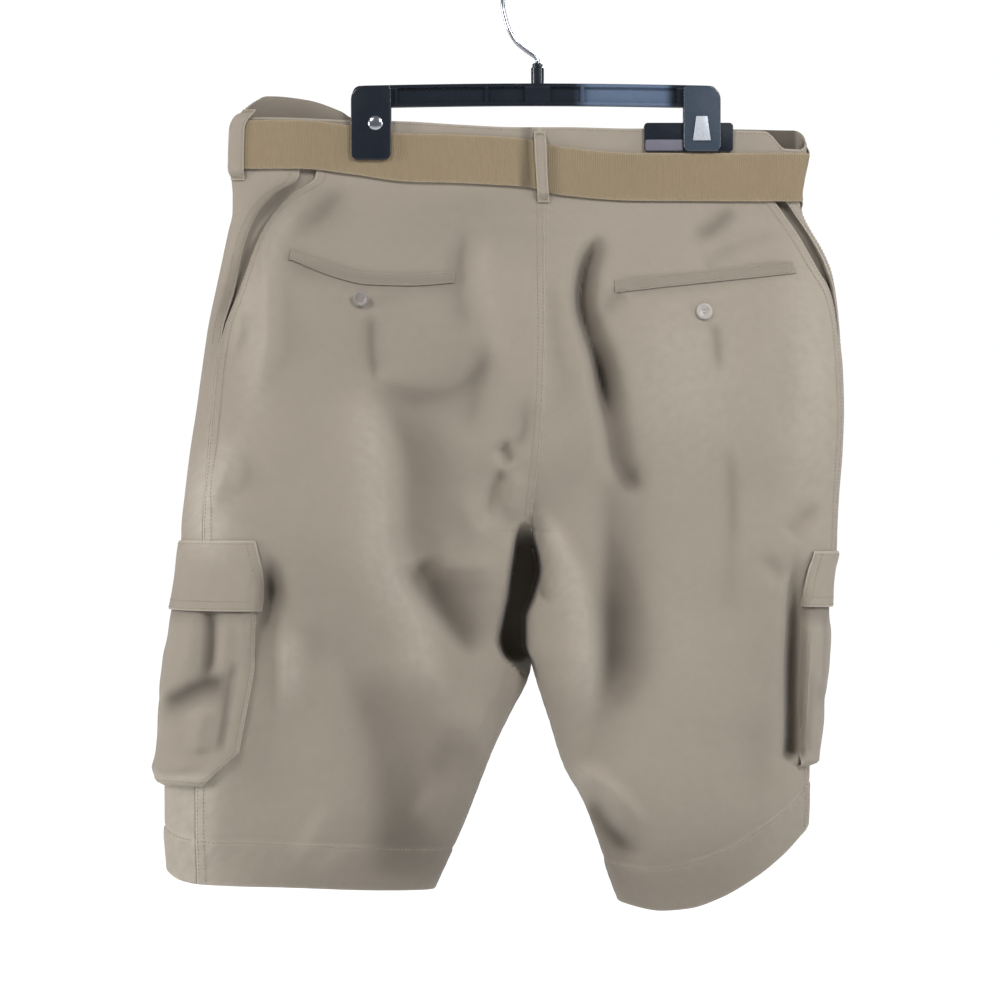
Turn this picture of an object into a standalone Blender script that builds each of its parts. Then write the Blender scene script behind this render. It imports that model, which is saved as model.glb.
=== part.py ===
"""Cargo shorts with a web belt, hanging by the waistband from a clip hanger.

The frame: +Z up, the hook's inside top at the origin, the shorts' back towards -Y and the
wearer's right towards +X. Tables and sizes are in millimetres; "drop" is the distance below
the origin. Each half of the garment is one surface, cloth(side, t, drop), where t runs round
the half from the centre back (0) by the outer side (0.5) to the centre front (1), and below
the crotch round the whole leg from the inseam back to the inseam.
"""
import math

import bmesh
import bpy
import numpy as np
from mathutils import Matrix, Vector

MM = 0.001
COLLECTION = "cargo_shorts"

# Walls and gaps
CLOTH_WALL = 1.2
BAND_RISE = 0.4          # how far the waistband stands proud of the panels
BAND_WALL = 2.0
SEAM_GAP = 0.3
LAY_GAP = 0.8            # under pieces that lie on a panel
FACING_GAP = 1.5         # between a front panel's inside and the pocket facing behind it
SEWN_GAP = 0.8           # the same where the facing is sewn to the back panel
LOOP_WALL = 1.0
WELT_WALL = 1.0
POCKET_WALL = 1.6
FLAP_WALL = 1.5
FACING_WALL = 1.0
FLY_WALL = 1.0

# Heights below the hook
PANEL_TOP = 171          # where the panels start, under the waistband
WAIST_END = 200          # down to here the waist keeps one depth
RISE_TURN = 358          # where the back and front rises start to turn under
CROTCH = 462
THIGH_TURN = 330         # away from the rise the body turns into legs more slowly,
THIGH_FORMED = 540       # between these two heights
MOUTH_END = 305          # lower end of the slant pockets
FLY_END = 340

# How many points a panel, a pocket and the waist are built from
BACK_COLUMNS, FRONT_COLUMNS = 18, 16
POCKET_COLUMNS, POCKET_ROWS = 11, 9

# Waist
BELT_WIDTH = 40.0
BELT_WALL = 2.2
BELT_INSIDE = BAND_RISE + 2 * SEAM_GAP
LOOP_WIDTH = 10.0
LOOP_REACH = 9.0         # how far a loop runs past the belt, above and below
BUCKLE_MARGIN = 7.5
CLOSURE_RISE = 2.8       # the belt stands this much further out over the waist button
TIP_SHARE = 0.014        # share of a half's round under the belt's metal tip
TAIL_LENGTH = 0.13       # share of a half's round that the belt's free end covers

# Hanger
BAR_LEFT, BAR_RIGHT = -153.0, 149.0
BAR_TOP, BAR_BOTTOM = 95.0, 113.0
BAR_SPAN, BAR_MIDDLE = BAR_RIGHT - BAR_LEFT, (BAR_LEFT + BAR_RIGHT) / 2
BAR_ARCH = 2.0
BAR_CORNER = 7.0
BAR_THICK = 10.0
STUB_HALF = 5.3
STUB_TOP = 76.0
HOOK_RADIUS = 28.7
HOOK_WIRE = 1.75
JAW_INSIDE = 5.3
JAW_THICK = 3.4
WEB_THICK = 6.0          # the clip's web under the bar
RIVET_DROP = 13.0        # below the bar
PAD_THICK = 2.4
HALF_PINCH = SEAM_GAP + BAND_WALL - BAND_RISE

# Outlines seen from the back: drop, outer edge, side seam, inner edge
LEFT_OUTLINE = [
    (105, -236, -178, 2),
    (131, -239, -179, 2),
    (171, -246, -184, 4),
    (185, -249, -204, 5),
    (199, -252, -218, 6),
    (215, -255, -227, 6),
    (232, -258, -234, 6),
    (265, -264.5, -245, 6),
    (298, -271, -257, 6),
    (330, -275.6, -263, 5),
    (363, -280, -266, 4),
    (396, -285, -269, 2),
    (429, -289, -271, -2),
    (462, -292, -273, -6.5),
    (486, -292, -273, -5.5),
    (519, -293, -273, -5),
    (552, -296, -274, -4.4),
    (572, -298, -275, -4.6),
    (588, -300, -276, -9),
    (609, -302, -277, -20),
    (642, -305, -278, -36),
    (675, -306, -279, -49),
    (708, -306, -279, -62),
    (740, -304, -278, -77),
    (780, -303, -278, -95),
]
RIGHT_OUTLINE = [
    (105, 219, 198, 2),
    (131, 220, 198, 2),
    (171, 215, 198, 4),
    (199, 213, 206, 6),
    (232, 230, 224, 6),
    (265, 242, 239, 6),
    (298, 247, 245, 6),
    (363, 251, 249, 4),
    (396, 250, 248, 2),
    (429, 247, 245, -2),
    (462, 243, 241, -6.5),
    (486, 238, 236, -5.5),
    (519, 233, 231, -5),
    (552, 231, 229, -4.4),
    (572, 230, 228, -4),
    (588, 229, 227, -0.5),
    (617, 227, 225, 9),
    (655, 222, 220, 21),
    (686, 221, 219, 38),
    (718, 220, 218, 50),
    (749, 219, 217, 60),
    (790, 218, 216, 76),
]
# How deep the body is, from its mid plane: drop, towards the back, towards the front
DEPTH = [
    (105, 13, 13),
    (200, 13, 13),
    (225, 25, 19),
    (265, 38, 27),
    (330, 47, 32),
    (396, 50, 36),
    (462, 47, 40),
    (530, 44, 42),
    (620, 42, 42),
    (700, 42, 41),
    (790, 44, 42),
]
# Where the mid plane runs: drop, y at the outer edge, y at the inner edge
LEFT_LEAN = [(105, 0, 0), (175, 0, 0), (300, -20, 0), (450, -24, 0), (570, -24, 9), (790, -22, 8)]
RIGHT_LEAN = [(105, 0, 0), (175, 0, 0), (300, 9, 0), (450, 16, 0), (570, 18, -8), (790, 20, -6)]
# Edges that run round the body: x, drop
LEFT_HEM = [(-320, 746), (-250, 750), (-195, 753), (-138, 756), (-70, 759)]
RIGHT_HEM = [
    (55, 766), (92, 772), (118, 768), (144, 758), (175, 743), (198, 727), (216, 708), (230, 696),
]
BAND_TOP_BACK = [
    (-256, 119), (-195, 120), (-153, 129), (-113, 131), (84, 131), (190, 134), (206, 145), (222, 147),
]
BAND_TOP_FRONT = [
    (-256, 106), (-233, 105), (-197, 109), (-162, 120), (-153, 127), (-113, 131), (84, 131), (222, 132),
]
BAND_BOTTOM = [(-256, 158), (-195, 162), (-153, 167), (-113, 170), (222, 171)]
BELT_TOP = [
    (-256, 124), (-195, 124), (-154, 128), (-113, 134), (-72, 136), (-15, 139), (18, 146), (60, 149.8),
    (84, 150.4), (222, 150.6),
]

SIDES = {
    "left": dict(outline=LEFT_OUTLINE, lean=LEFT_LEAN, hem=LEFT_HEM, turn=1.0),
    "right": dict(outline=RIGHT_OUTLINE, lean=RIGHT_LEAN, hem=RIGHT_HEM, turn=-1.0),
}
MOUTH_TURN = {"left": 0.417, "right": 0.47}      # how far round a slant pocket's front edge is
MOUTH_FLARE = {"left": 2.0, "right": 4.0}
FACING_DIP = {"left": 1.2, "right": 0.0}
FACING_REACH = {"left": 0.022, "right": -0.006}  # how far round it runs on under the front edge

# Clips: x of the two edges, lowest point, width of the cloth that is held flat
CLIPS = {
    "left": dict(edges=(-154.0, -121.0), low=156.5, held=(-158.0, -117.0)),
    "right": dict(edges=(120.5, 151.0), low=149.4, held=(78.0, 168.0)),
}
RIGHT_PAD = dict(edges=(88.0, 161.5), high=125.5, low=149.4)
PINCH_SPREAD = 56.0
PINCH_FADE = 120.0

# How square the round is, 1 an ellipse and less squarer, at the waist and on the legs
WAIST_BLUNT = 0.55
LEG_BLUNT = 0.78

# Largest folds. Face, start, middle and end of the path (x, drop), half width, height
FOLDS = [
    ("back", (54, 300), (30, 340), (56, 400), 15, -7.0),      # pocket bag's edge
    ("back", (56, 380), (60, 426), (96, 440), 13, -6.0),      # its hooked end
    ("back", (88, 320), (84, 360), (100, 400), 20, 4.0),
    ("back", (66, 460), (80, 530), (46, 640), 18, -5.0),
    ("back", (122, 480), (126, 570), (96, 690), 24, 4.0),
    ("back", (150, 310), (154, 380), (156, 450), 16, -3.0),
    ("back", (-150, 300), (-150, 350), (-120, 380), 16, -3.0),
    ("back", (-40, 380), (-46, 424), (-44, 462), 14, -4.0),
    ("back", (-126, 400), (-132, 450), (-120, 510), 20, 4.0),
    ("back", (-112, 500), (-92, 546), (-60, 580), 17, -6.0),
    ("back", (-150, 620), (-116, 680), (-96, 740), 20, -3.0),
    ("back", (-14, 470), (-22, 530), (-20, 600), 15, -7.0),   # the left leg's inner side
    ("front", (-30, 430), (-84, 446), (-150, 420), 17, -5.0),
    ("front", (30, 430), (84, 450), (140, 430), 17, -5.0),
    ("front", (-40, 480), (-70, 520), (-110, 560), 17, 4.0),
    ("front", (40, 480), (70, 530), (90, 580), 17, 4.0),
    ("front", (-130, 210), (-112, 270), (-90, 330), 18, -4.0),
    ("front", (120, 210), (106, 270), (84, 340), 18, -4.0),
    ("front", (-110, 600), (-130, 660), (-130, 730), 18, -4.0),
    ("front", (96, 600), (100, 660), (90, 730), 18, -4.0),
]

# Belt loops: where on the round, 0 at the centre back, the left half positive
LOOPS = {
    "centre_back": 0.0,
    "side_left": 0.49,
    "side_right": -0.56,
    "front_left": 0.90,
    "front_right": -0.90,
}

# Back welt pockets: the welt's two ends (x, drop), and the button's place
WELTS = {
    "left": dict(start=(-68, 254), end=(-207, 254), button=(-143.5, 272)),
    "right": dict(start=(63, 266), end=(211, 247), button=(135, 281)),
}
WELT_HEIGHT = 10.0
BUTTON_RADIUS = 6.5
BUTTON_THICK = 2.4

# Cargo pockets: rear and front edge as shares of the round, then the drops of the flap's and the
# pocket's edges, and the share of the bellows' height that stays at the rear edge
CARGO = {
    "left": dict(rear=0.33, front=0.665, flap_top=470, flap_low=530, top=484, low=670, rear_stand=0.0),
    "right": dict(rear=0.405, front=0.74, flap_top=479, flap_low=524, top=492, low=657, rear_stand=0.85),
}
CARGO_STAND = 6.5
CARGO_CORNER = 0.17      # share of the width that a lower corner cuts off
FLAP_STAND = 9.0
FLAP_MARGIN = 0.006      # how much further round the flap runs than its pocket
FLY_SHARE = 0.055        # the fly's width as a share of a half's round

# Colours, roughness and metallic values
KHAKI = ("khaki_twill", (0.330, 0.283, 0.228, 1.0), 0.85, 0.0)
WEBBING = ("tan_webbing", (0.300, 0.235, 0.150, 1.0), 0.8, 0.0)
SHELL = ("button_shell", (0.55, 0.50, 0.44, 1.0), 0.3, 0.0)
PLASTIC = ("black_plastic", (0.012, 0.015, 0.022, 1.0), 0.3, 0.0)
STEEL = ("bright_steel", (0.62, 0.64, 0.68, 1.0), 0.25, 1.0)
BRASS = ("dull_brass", (0.42, 0.34, 0.20, 1.0), 0.4, 1.0)


# ---------------------------------------------------------------- reading the tables

def along(table, column, place):
    """A smooth, never overshooting curve through one column of a table."""
    rows = np.asarray(table, dtype=float)
    x, y = rows[:, 0], rows[:, column]
    step = np.diff(x)
    slope = np.diff(y) / step
    tangent = np.zeros_like(y)
    tangent[0], tangent[-1] = slope[0], slope[-1]
    same_way = slope[:-1] * slope[1:] > 0
    mean = 2 * slope[:-1] * slope[1:] / np.where(same_way, slope[:-1] + slope[1:], 1.0)
    tangent[1:-1] = np.where(same_way, mean, 0.0)
    place = np.clip(np.asarray(place, dtype=float), x[0], x[-1])
    i = np.clip(np.searchsorted(x, place, side="right") - 1, 0, len(x) - 2)
    h = step[i]
    s = (place - x[i]) / h
    return ((1 + 2 * s) * (1 - s) ** 2 * y[i] + s * (1 - s) ** 2 * h * tangent[i]
            + s * s * (3 - 2 * s) * y[i + 1] + s * s * (s - 1) * h * tangent[i + 1])


def ease(low, high, value):
    """0 below low, 1 above high, smooth between."""
    s = np.clip((np.asarray(value, dtype=float) - low) / (high - low), 0.0, 1.0)
    return s * s * (3 - 2 * s)


# ---------------------------------------------------------------- the cloth's surface

def leg_share(t, drop):
    """0 where the two halves are one body, 1 on the legs; along the rise a quarter round."""
    s = np.clip((np.asarray(drop, dtype=float) - RISE_TURN) / (CROTCH - RISE_TURN), 0.0, 1.0)
    at_rise = 1.0 - np.sqrt(1.0 - s * s)
    away = ease(0.0, 0.22, np.minimum(t, 1 - t))
    return at_rise * (1 - away) + ease(THIGH_TURN, THIGH_FORMED, drop) * away


def round_shape(t, drop):
    """How far out (0 to 1) and how far back (1) or forward (-1) a place on the round is."""
    leg = leg_share(t, drop)
    out = (1 - leg) * np.sin(math.pi * t) + leg * (1 - np.cos(2 * math.pi * t)) / 2
    deep = (1 - leg) * np.cos(math.pi * t) + leg * np.sin(2 * math.pi * t)
    blunt = WAIST_BLUNT + (LEG_BLUNT - WAIST_BLUNT) * ease(WAIST_END, 280, drop)
    return out, np.sign(deep) * np.abs(deep) ** blunt


def held_flat(x, drop):
    """1 where a clip holds the cloth, falling to 0 around and below it."""
    share = np.zeros(np.broadcast(x, drop).shape)
    for clip in CLIPS.values():
        low, high = clip["held"]
        across = 1 - ease(0, PINCH_SPREAD, np.maximum(low - x, x - high))
        down = 1 - ease(clip["low"] + 4, clip["low"] + PINCH_FADE, drop)
        share = np.maximum(share, across * down)
    return share


def fold_height(face, x, drop):
    """Sum of the folds of one face at a place, outwards."""
    total = np.zeros(np.broadcast(x, drop).shape)
    for fold_face, start, middle, end, half_width, height in FOLDS:
        if fold_face != face:
            continue
        nearest = np.full(total.shape, 1e9)
        taper = np.zeros(total.shape)
        for k in np.linspace(0, 1, 15):
            px = (1 - k) ** 2 * start[0] + 2 * k * (1 - k) * middle[0] + k * k * end[0]
            pd = (1 - k) ** 2 * start[1] + 2 * k * (1 - k) * middle[1] + k * k * end[1]
            distance = (x - px) ** 2 + (drop - pd) ** 2
            closer = distance < nearest
            nearest = np.where(closer, distance, nearest)
            taper = np.where(closer, math.sin(math.pi * (0.12 + 0.76 * k)), taper)
        total = total + height * taper * np.exp(-nearest / half_width ** 2)
    return total


def cloth(side, t, drop):
    """A point of the garment's outer surface, in millimetres."""
    t, drop = np.broadcast_arrays(np.asarray(t, dtype=float), np.asarray(drop, dtype=float))
    half = SIDES[side]
    outer = along(half["outline"], 1, drop)
    inner = along(half["outline"], 3, drop) - half["turn"] * SEAM_GAP / 2
    out, deep = round_shape(t, drop)
    x = inner + (outer - inner) * out
    y_mid = along(half["lean"], 2, drop) * (1 - out) + along(half["lean"], 1, drop) * out
    held = held_flat(x, drop)
    back = along(DEPTH, 1, drop) * deep * (1 - held) + HALF_PINCH * held
    front = along(DEPTH, 2, drop) * deep * (1 - held) - HALF_PINCH * held
    relief = ease(0.0, 0.5, np.abs(deep)) * (1 - held)
    at_inseam = np.minimum(t, 1 - t) < 1e-6
    seam = SEAM_GAP / 2 * leg_share(t, drop) * at_inseam
    y_back = -back - fold_height("back", x, drop) * relief - seam
    y_front = -front + fold_height("front", x, drop) * relief + seam
    y = np.where((deep > 0) | ((deep == 0) & (t < 0.25)), y_back, y_front)
    return np.stack([x, y_mid + y, -drop], axis=-1)


def outward(side, t, drop):
    """The surface's outward unit normal."""
    t, drop = np.broadcast_arrays(np.asarray(t, dtype=float), np.asarray(drop, dtype=float))
    dt, dd = 0.004, 1.0
    t0, t1 = np.clip(t - dt, 0, 1), np.clip(t + dt, 0, 1)
    round_way = cloth(side, t1, drop) - cloth(side, t0, drop)
    down_way = cloth(side, t, drop + dd) - cloth(side, t, drop - dd)
    normal = np.cross(round_way, down_way) * SIDES[side]["turn"]
    return normal / np.maximum(np.linalg.norm(normal, axis=-1, keepdims=True), 1e-9)


def skin(side, t, drop, rise):
    """A point moved out from the surface by rise millimetres."""
    return cloth(side, t, drop) + outward(side, t, drop) * np.asarray(rise, dtype=float)[..., None]


def ring(turn, drop, rise):
    """The same, all round the waist: turn is 0 at the centre back, -1 and 1 at the front."""
    turn, drop, rise = np.broadcast_arrays(*(np.asarray(v, dtype=float) for v in (turn, drop, rise)))
    left = skin("left", np.abs(turn), drop, rise)
    right = skin("right", np.abs(turn), drop, rise)
    return np.where((turn > 0)[..., None], left, right)


def place(side, x, drop, front=False):
    """The t at which the back (or front) face has this x."""
    samples = np.linspace(0, 0.5, 401)
    outer = along(SIDES[side]["outline"], 1, drop)
    inner = along(SIDES[side]["outline"], 3, drop)
    out, _ = round_shape(samples, np.full(samples.shape, float(drop)))
    t = float(np.interp((x - inner) / (outer - inner), out, samples))
    return 1 - t if front else t


def seam_place(side, drop):
    """Side seam's t at each drop."""
    return np.array([place(side, along(SIDES[side]["outline"], 2, d), d) for d in np.ravel(drop)])


def edge(table_back, table_front, x, t):
    """An edge that runs at one height on the back and another on the front."""
    forward = ease(0.42, 0.6, t)
    return along(table_back, 1, x) * (1 - forward) + along(table_front, 1, x) * forward


# ---------------------------------------------------------------- making solids

def new_object(name, data, finish):
    """Link a mesh or a curve as one named part with its own material."""
    part = bpy.data.objects.new(name, data)
    label, colour, rough, metallic = finish
    material = bpy.data.materials.new(f"{name}_{label}")
    material.use_nodes = True
    shader = material.node_tree.nodes["Principled BSDF"]
    shader.inputs["Base Color"].default_value = colour
    shader.inputs["Roughness"].default_value = rough
    shader.inputs["Metallic"].default_value = metallic
    data.materials.append(material)
    bpy.data.collections[COLLECTION].objects.link(part)
    return part


def wall(name, outer, inner, finish):
    """A closed wall between two grids of points (columns, rows, 3), both in millimetres."""
    columns, rows = outer.shape[:2]
    bm = bmesh.new()
    out = [[bm.verts.new(outer[i, j] * MM) for j in range(rows)] for i in range(columns)]
    inn = [[bm.verts.new(inner[i, j] * MM) for j in range(rows)] for i in range(columns)]
    for i in range(columns - 1):
        for j in range(rows - 1):
            bm.faces.new((out[i][j], out[i][j + 1], out[i + 1][j + 1], out[i + 1][j]))
            bm.faces.new((inn[i][j], inn[i + 1][j], inn[i + 1][j + 1], inn[i][j + 1]))
    for j in range(rows - 1):
        bm.faces.new((out[0][j], inn[0][j], inn[0][j + 1], out[0][j + 1]))
        bm.faces.new((out[-1][j], out[-1][j + 1], inn[-1][j + 1], inn[-1][j]))
    for i in range(columns - 1):
        bm.faces.new((out[i][0], out[i + 1][0], inn[i + 1][0], inn[i][0]))
        bm.faces.new((out[i][-1], inn[i][-1], inn[i + 1][-1], out[i + 1][-1]))
    bmesh.ops.recalc_face_normals(bm, faces=bm.faces[:])
    mesh = bpy.data.meshes.new(name)
    bm.to_mesh(mesh)
    bm.free()
    return new_object(name, mesh, finish)


def skin_wall(name, side, t, drop, rise, thick, finish):
    """A wall that lies on the surface: its outside at rise, its inside thick below that."""
    rise = np.broadcast_to(np.asarray(rise, dtype=float), np.broadcast(t, drop).shape)
    return wall(name, skin(side, t, drop, rise), skin(side, t, drop, rise - thick), finish)


def row_drops(side):
    """The rows of a half at its centre line, close together where the crotch turns."""
    above = np.append(PANEL_TOP, np.linspace(WAIST_END, RISE_TURN, 8))
    turning = RISE_TURN + (CROTCH - RISE_TURN) * np.sin(np.radians([16, 32, 47, 60, 72, 82, 90]))
    low = float(along(SIDES[side]["hem"], 1, along(SIDES[side]["outline"], 3, 760)))
    below = np.concatenate([[474, 492, 514, 538, 563, 588], np.linspace(612, low, 7)])
    return np.concatenate([above, turning, below])


def front_start(side, drop):
    """Where a front panel's outer edge runs: along the slant mouth, then down the side seam."""
    open_share = np.clip((MOUTH_END - np.asarray(drop, dtype=float)) / (MOUTH_END - PANEL_TOP), 0, 1)
    seam = seam_place(side, drop)
    return seam + np.maximum(MOUTH_TURN[side] - seam, 0) * ease(0.0, 0.2, open_share), open_share


def panel(side, face):
    """A back or front panel from the waistband to the hem."""
    centre = row_drops(side)
    columns, bend = (BACK_COLUMNS, 1.0) if face == "back" else (FRONT_COLUMNS, 1.25)
    drop = np.tile(centre, (columns, 1))
    half_gap = SEAM_GAP / 2 / 260.0
    u = (np.linspace(0, 1, columns) ** bend)[:, None]
    for _ in range(3):
        if face == "back":
            t = u * (seam_place(side, drop[-1]) - half_gap)[None, :]
            rise = 0.0
        else:
            start, open_share = front_start(side, drop[0])
            t = (start + half_gap)[None, :] + u * (1 - start - half_gap)[None, :]
            flare = MOUTH_FLARE[side] * np.sqrt(open_share) * (1 - ease(0.52, 0.72, open_share))
            rise = flare[None, :] * np.exp(-(u / 0.10) ** 2)
        top = along(BAND_BOTTOM, 1, cloth(side, t[:, :1], 165.0)[..., 0]) + 2 * SEAM_GAP
        low = along(SIDES[side]["hem"], 1, cloth(side, t[:, -1:], 745.0)[..., 0])
        near_top = 1 - ease(PANEL_TOP, 350, centre)[None, :]
        near_hem = ease(560, centre[-1], centre)[None, :]
        drop = centre[None, :] + (top - centre[0]) * near_top + (low - centre[-1]) * near_hem
    return skin_wall(f"{face}_{side}", side, t, drop, rise, CLOTH_WALL, KHAKI)


def slant_facing(side):
    """The pocket facing that shows behind the slant pocket's mouth."""
    rows = row_drops(side)
    drop = np.append(rows[rows < MOUTH_END], MOUTH_END + 4)[None, :] + 1.0
    u = np.linspace(0, 1, 7)[:, None]
    mouth, open_share = front_start(side, drop[0])
    start, end = seam_place(side, drop[0]) - 0.018, mouth + FACING_REACH[side]
    t = start[None, :] + u * (end - start)[None, :]
    dip = FACING_DIP[side] * np.sin(math.pi * u) * open_share[None, :]
    gap = SEWN_GAP + (FACING_GAP - SEWN_GAP) * ease(0.05, 0.5, u)
    rise = -(CLOTH_WALL + gap) - dip
    return skin_wall(f"slant_facing_{side}", side, t, drop, rise, FACING_WALL, KHAKI)


def round_speed(turn):
    """Millimetres of cloth for one whole unit of turn, at the waist."""
    step = 0.002
    ends = ring(np.array([turn - step, turn + step]), 150.0, 0.0)
    return float(np.linalg.norm(ends[1] - ends[0])) / (2 * step)


def loop_turns(turn):
    """The two edges and the middle of a belt loop."""
    half = LOOP_WIDTH / 2 / round_speed(turn)
    return [turn - half, turn, turn + half]


def waist_turns():
    """Places round the waist shared by waistband, belt, loops and belt tip."""
    back, bend = np.arange(0.0225, 0.37, 0.0225), np.arange(0.40, 0.61, 0.0166)
    front = np.arange(0.64, 0.99, 0.0225)
    turns = np.concatenate([back, bend, front])
    turns = np.concatenate([-turns[::-1], turns])
    special = [-1.0, 1.0, 1 - TAIL_LENGTH, 1 - TAIL_LENGTH + TIP_SHARE]
    for turn in LOOPS.values():
        special += loop_turns(turn)
    kept = [turn for turn in turns if min(abs(turn - other) for other in special) > 0.009]
    return np.unique(np.round(kept + special, 9))


def waistband(side):
    """One half of the waistband, from the centre back to the centre front."""
    turns = waist_turns()
    turns = turns[turns >= 0] if side == "left" else -turns[turns <= 0][::-1]
    t = turns[:, None]
    top = edge(BAND_TOP_BACK, BAND_TOP_FRONT, cloth(side, t, 125.0)[..., 0], t)
    low = along(BAND_BOTTOM, 1, cloth(side, t, 165.0)[..., 0])
    drop = top + (low - top) * np.linspace(0, 1, 4)[None, :]
    return skin_wall(f"waistband_{side}", side, t, drop, BAND_RISE, BAND_WALL, KHAKI)


def belt_rise(turn):
    """How far the belt's inside stands off; it clears the button at the front."""
    return BELT_INSIDE + CLOSURE_RISE * ease(0.86, 0.95, np.abs(turn))


def belt_edges(turn):
    """Upper edge of the belt at places round the waist."""
    return along(BELT_TOP, 1, ring(turn, 150.0, 0.0)[..., 0])


def belt():
    """The web belt: once round from the buckle, then its free end over the left front."""
    turns = waist_turns()
    first, tail = turns[::-1], turns[turns > 1 - TAIL_LENGTH - 1e-6][::-1]
    turn = np.concatenate([first, tail])
    turn[0] = 0.997
    over = (BELT_WALL + SEAM_GAP) * ease(0.90, 0.97, -turn)
    over[len(first):] = BELT_WALL + SEAM_GAP
    rise = (belt_rise(turn) + over)[:, None]
    drop = belt_edges(turn)[:, None] + BELT_WIDTH * np.linspace(0, 1, 4)[None, :]
    turn = turn[:, None]
    return wall("belt", ring(turn, drop, rise + BELT_WALL), ring(turn, drop, rise), WEBBING)


def belt_loop(name, turn):
    """A loop that passes over the belt, and over its free end where that lies below."""
    layers = 2 if turn > 1 - TAIL_LENGTH else 1
    ends, turns = loop_turns(turn), waist_turns()
    across = turns[(turns > ends[0] - 1e-6) & (turns < ends[2] + 1e-6)][:, None]
    top = float(belt_edges(turn))
    low = top + BELT_WIDTH
    near = [LOOP_REACH, 5.5, 1.2, -4.0]
    drop = [top - d for d in near] + [(top + low) / 2] + [low + d for d in near[::-1]]
    over_belt = float(belt_rise(turn)) + layers * (BELT_WALL + SEAM_GAP) + SEAM_GAP
    on_band = BAND_RISE + LAY_GAP
    rise = [on_band] * 2 + [over_belt] * 5 + [on_band] * 2
    across, drop, rise = np.broadcast_arrays(across, [drop], [rise])
    return wall(name, ring(across, drop, rise + LOOP_WALL), ring(across, drop, rise), KHAKI)


def welt(side):
    """The narrow welt of a back pocket."""
    start, end = WELTS[side]["start"], WELTS[side]["end"]
    u = np.linspace(0, 1, 14)[:, None]
    t0, t1 = place(side, start[0], start[1]), place(side, end[0], end[1])
    t = t0 + u * (t1 - t0)
    x = cloth(side, t, (start[1] + end[1]) / 2)[..., 0]
    centre = start[1] + (end[1] - start[1]) * (x - start[0]) / (end[0] - start[0])
    drop = centre + WELT_HEIGHT * np.linspace(-0.5, 0.5, 3)[None, :]
    return skin_wall(f"welt_{side}", side, t, drop, LAY_GAP + WELT_WALL, WELT_WALL, KHAKI)


def fly_placket():
    """The stitched fly on the left front, with its rounded lower end."""
    u = np.linspace(0, 1, 6)[:, None]
    rows = row_drops("left")
    drop = np.append(rows[rows < FLY_END - 15], FLY_END - 6)[None, :] + 1.0
    round_low = np.sqrt(np.clip((FLY_END - drop) / 34.0, 0.0, 1.0))
    t = 1 - 0.0012 - u * FLY_SHARE * round_low
    return skin_wall("fly_placket", "left", t, drop, LAY_GAP + FLY_WALL, FLY_WALL, KHAKI)


def spaced(edge_share, count):
    """Shares of a width with extra ones near both ends, where a relief rises."""
    inside = np.linspace(edge_share * 2.2, 1 - edge_share * 2.2, count)
    return np.concatenate([[0, edge_share], inside, [1 - edge_share, 1]])


def cargo_pocket(side):
    """A patch pocket with cut lower corners, standing off the leg as a bellows."""
    size = CARGO[side]
    u, v = spaced(0.035, POCKET_COLUMNS)[:, None], spaced(0.035, POCKET_ROWS)[None, :]
    drop = size["top"] + v * (size["low"] - size["top"])
    corner = CARGO_CORNER * np.clip((v - 0.80) / 0.20, 0, 1)
    t = size["rear"] + (size["front"] - size["rear"]) * (corner + u * (1 - 2 * corner))
    t, drop = np.broadcast_arrays(t, drop)
    rear = size["rear_stand"] + (1 - size["rear_stand"]) * ease(0, 0.07, u)
    sides = np.minimum(rear, ease(0, 0.07, 1 - u))
    lift = np.minimum(sides, ease(0, 0.06, 1 - v))
    pleat = np.exp(-((u - 0.5) / 0.035) ** 2) * (1 - ease(0.5, 0.75, v))
    stand = (CARGO_STAND - 1.6 * (1 - ease(0.0, 0.5, v)) - 2.2 * pleat) * lift
    rise = LAY_GAP + POCKET_WALL + stand
    return skin_wall(f"cargo_pocket_{side}", side, t, drop, rise, POCKET_WALL, KHAKI)


def cargo_flap(side):
    """The flap over a cargo pocket, sewn along its top edge and hanging clear below it."""
    size = CARGO[side]
    u = spaced(0.035, POCKET_COLUMNS)[:, None]
    v = np.array([0, 0.1, 0.22, 0.5, 0.76, 1.0])[None, :]
    drop = size["flap_top"] + v * (size["flap_low"] - size["flap_top"])
    t = size["rear"] - FLAP_MARGIN + (size["front"] - size["rear"] + 2 * FLAP_MARGIN) * u
    t, drop = np.broadcast_arrays(t, drop)
    rise = LAY_GAP + FLAP_WALL + (FLAP_STAND - LAY_GAP) * ease(0, 10, drop - size["flap_top"])
    return skin_wall(f"cargo_flap_{side}", side, t, drop, rise, FLAP_WALL, KHAKI)


def turned(name, profile, point, axis, finish, steps=20):
    """A turned piece from a profile of (radius, height), set at a point along an axis."""
    bm = bmesh.new()
    verts = [bm.verts.new((radius * MM, 0, height * MM)) for radius, height in profile]
    for a, b in zip(verts, verts[1:]):
        bm.edges.new((a, b))
    mesh = bpy.data.meshes.new(name)
    bm.to_mesh(mesh)
    bm.free()
    part = new_object(name, mesh, finish)
    screw = part.modifiers.new("turn", "SCREW")
    screw.steps = screw.render_steps = steps
    screw.use_merge_vertices = True
    screw.merge_threshold = 0.00001
    lean = Vector(axis).to_track_quat("Z", "Y").to_matrix().to_4x4()
    part.matrix_world = Matrix.Translation(Vector(point) * MM) @ lean
    return part


def button(name, side, t, drop, rise, radius, thick):
    """A dished sew-through button on the cloth."""
    shape = [(0, 0.7), (0.55, 0.7), (0.72, 1.0), (0.9, 1.0), (1.0, 0.65), (0.8, 0), (0, 0)]
    profile = [(radius * across, thick * high) for across, high in shape]
    base = skin(side, t, drop, np.asarray(rise + SEAM_GAP))
    return turned(name, profile, base, outward(side, t, drop), SHELL)


# ---------------------------------------------------------------- closure and hanger

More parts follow.
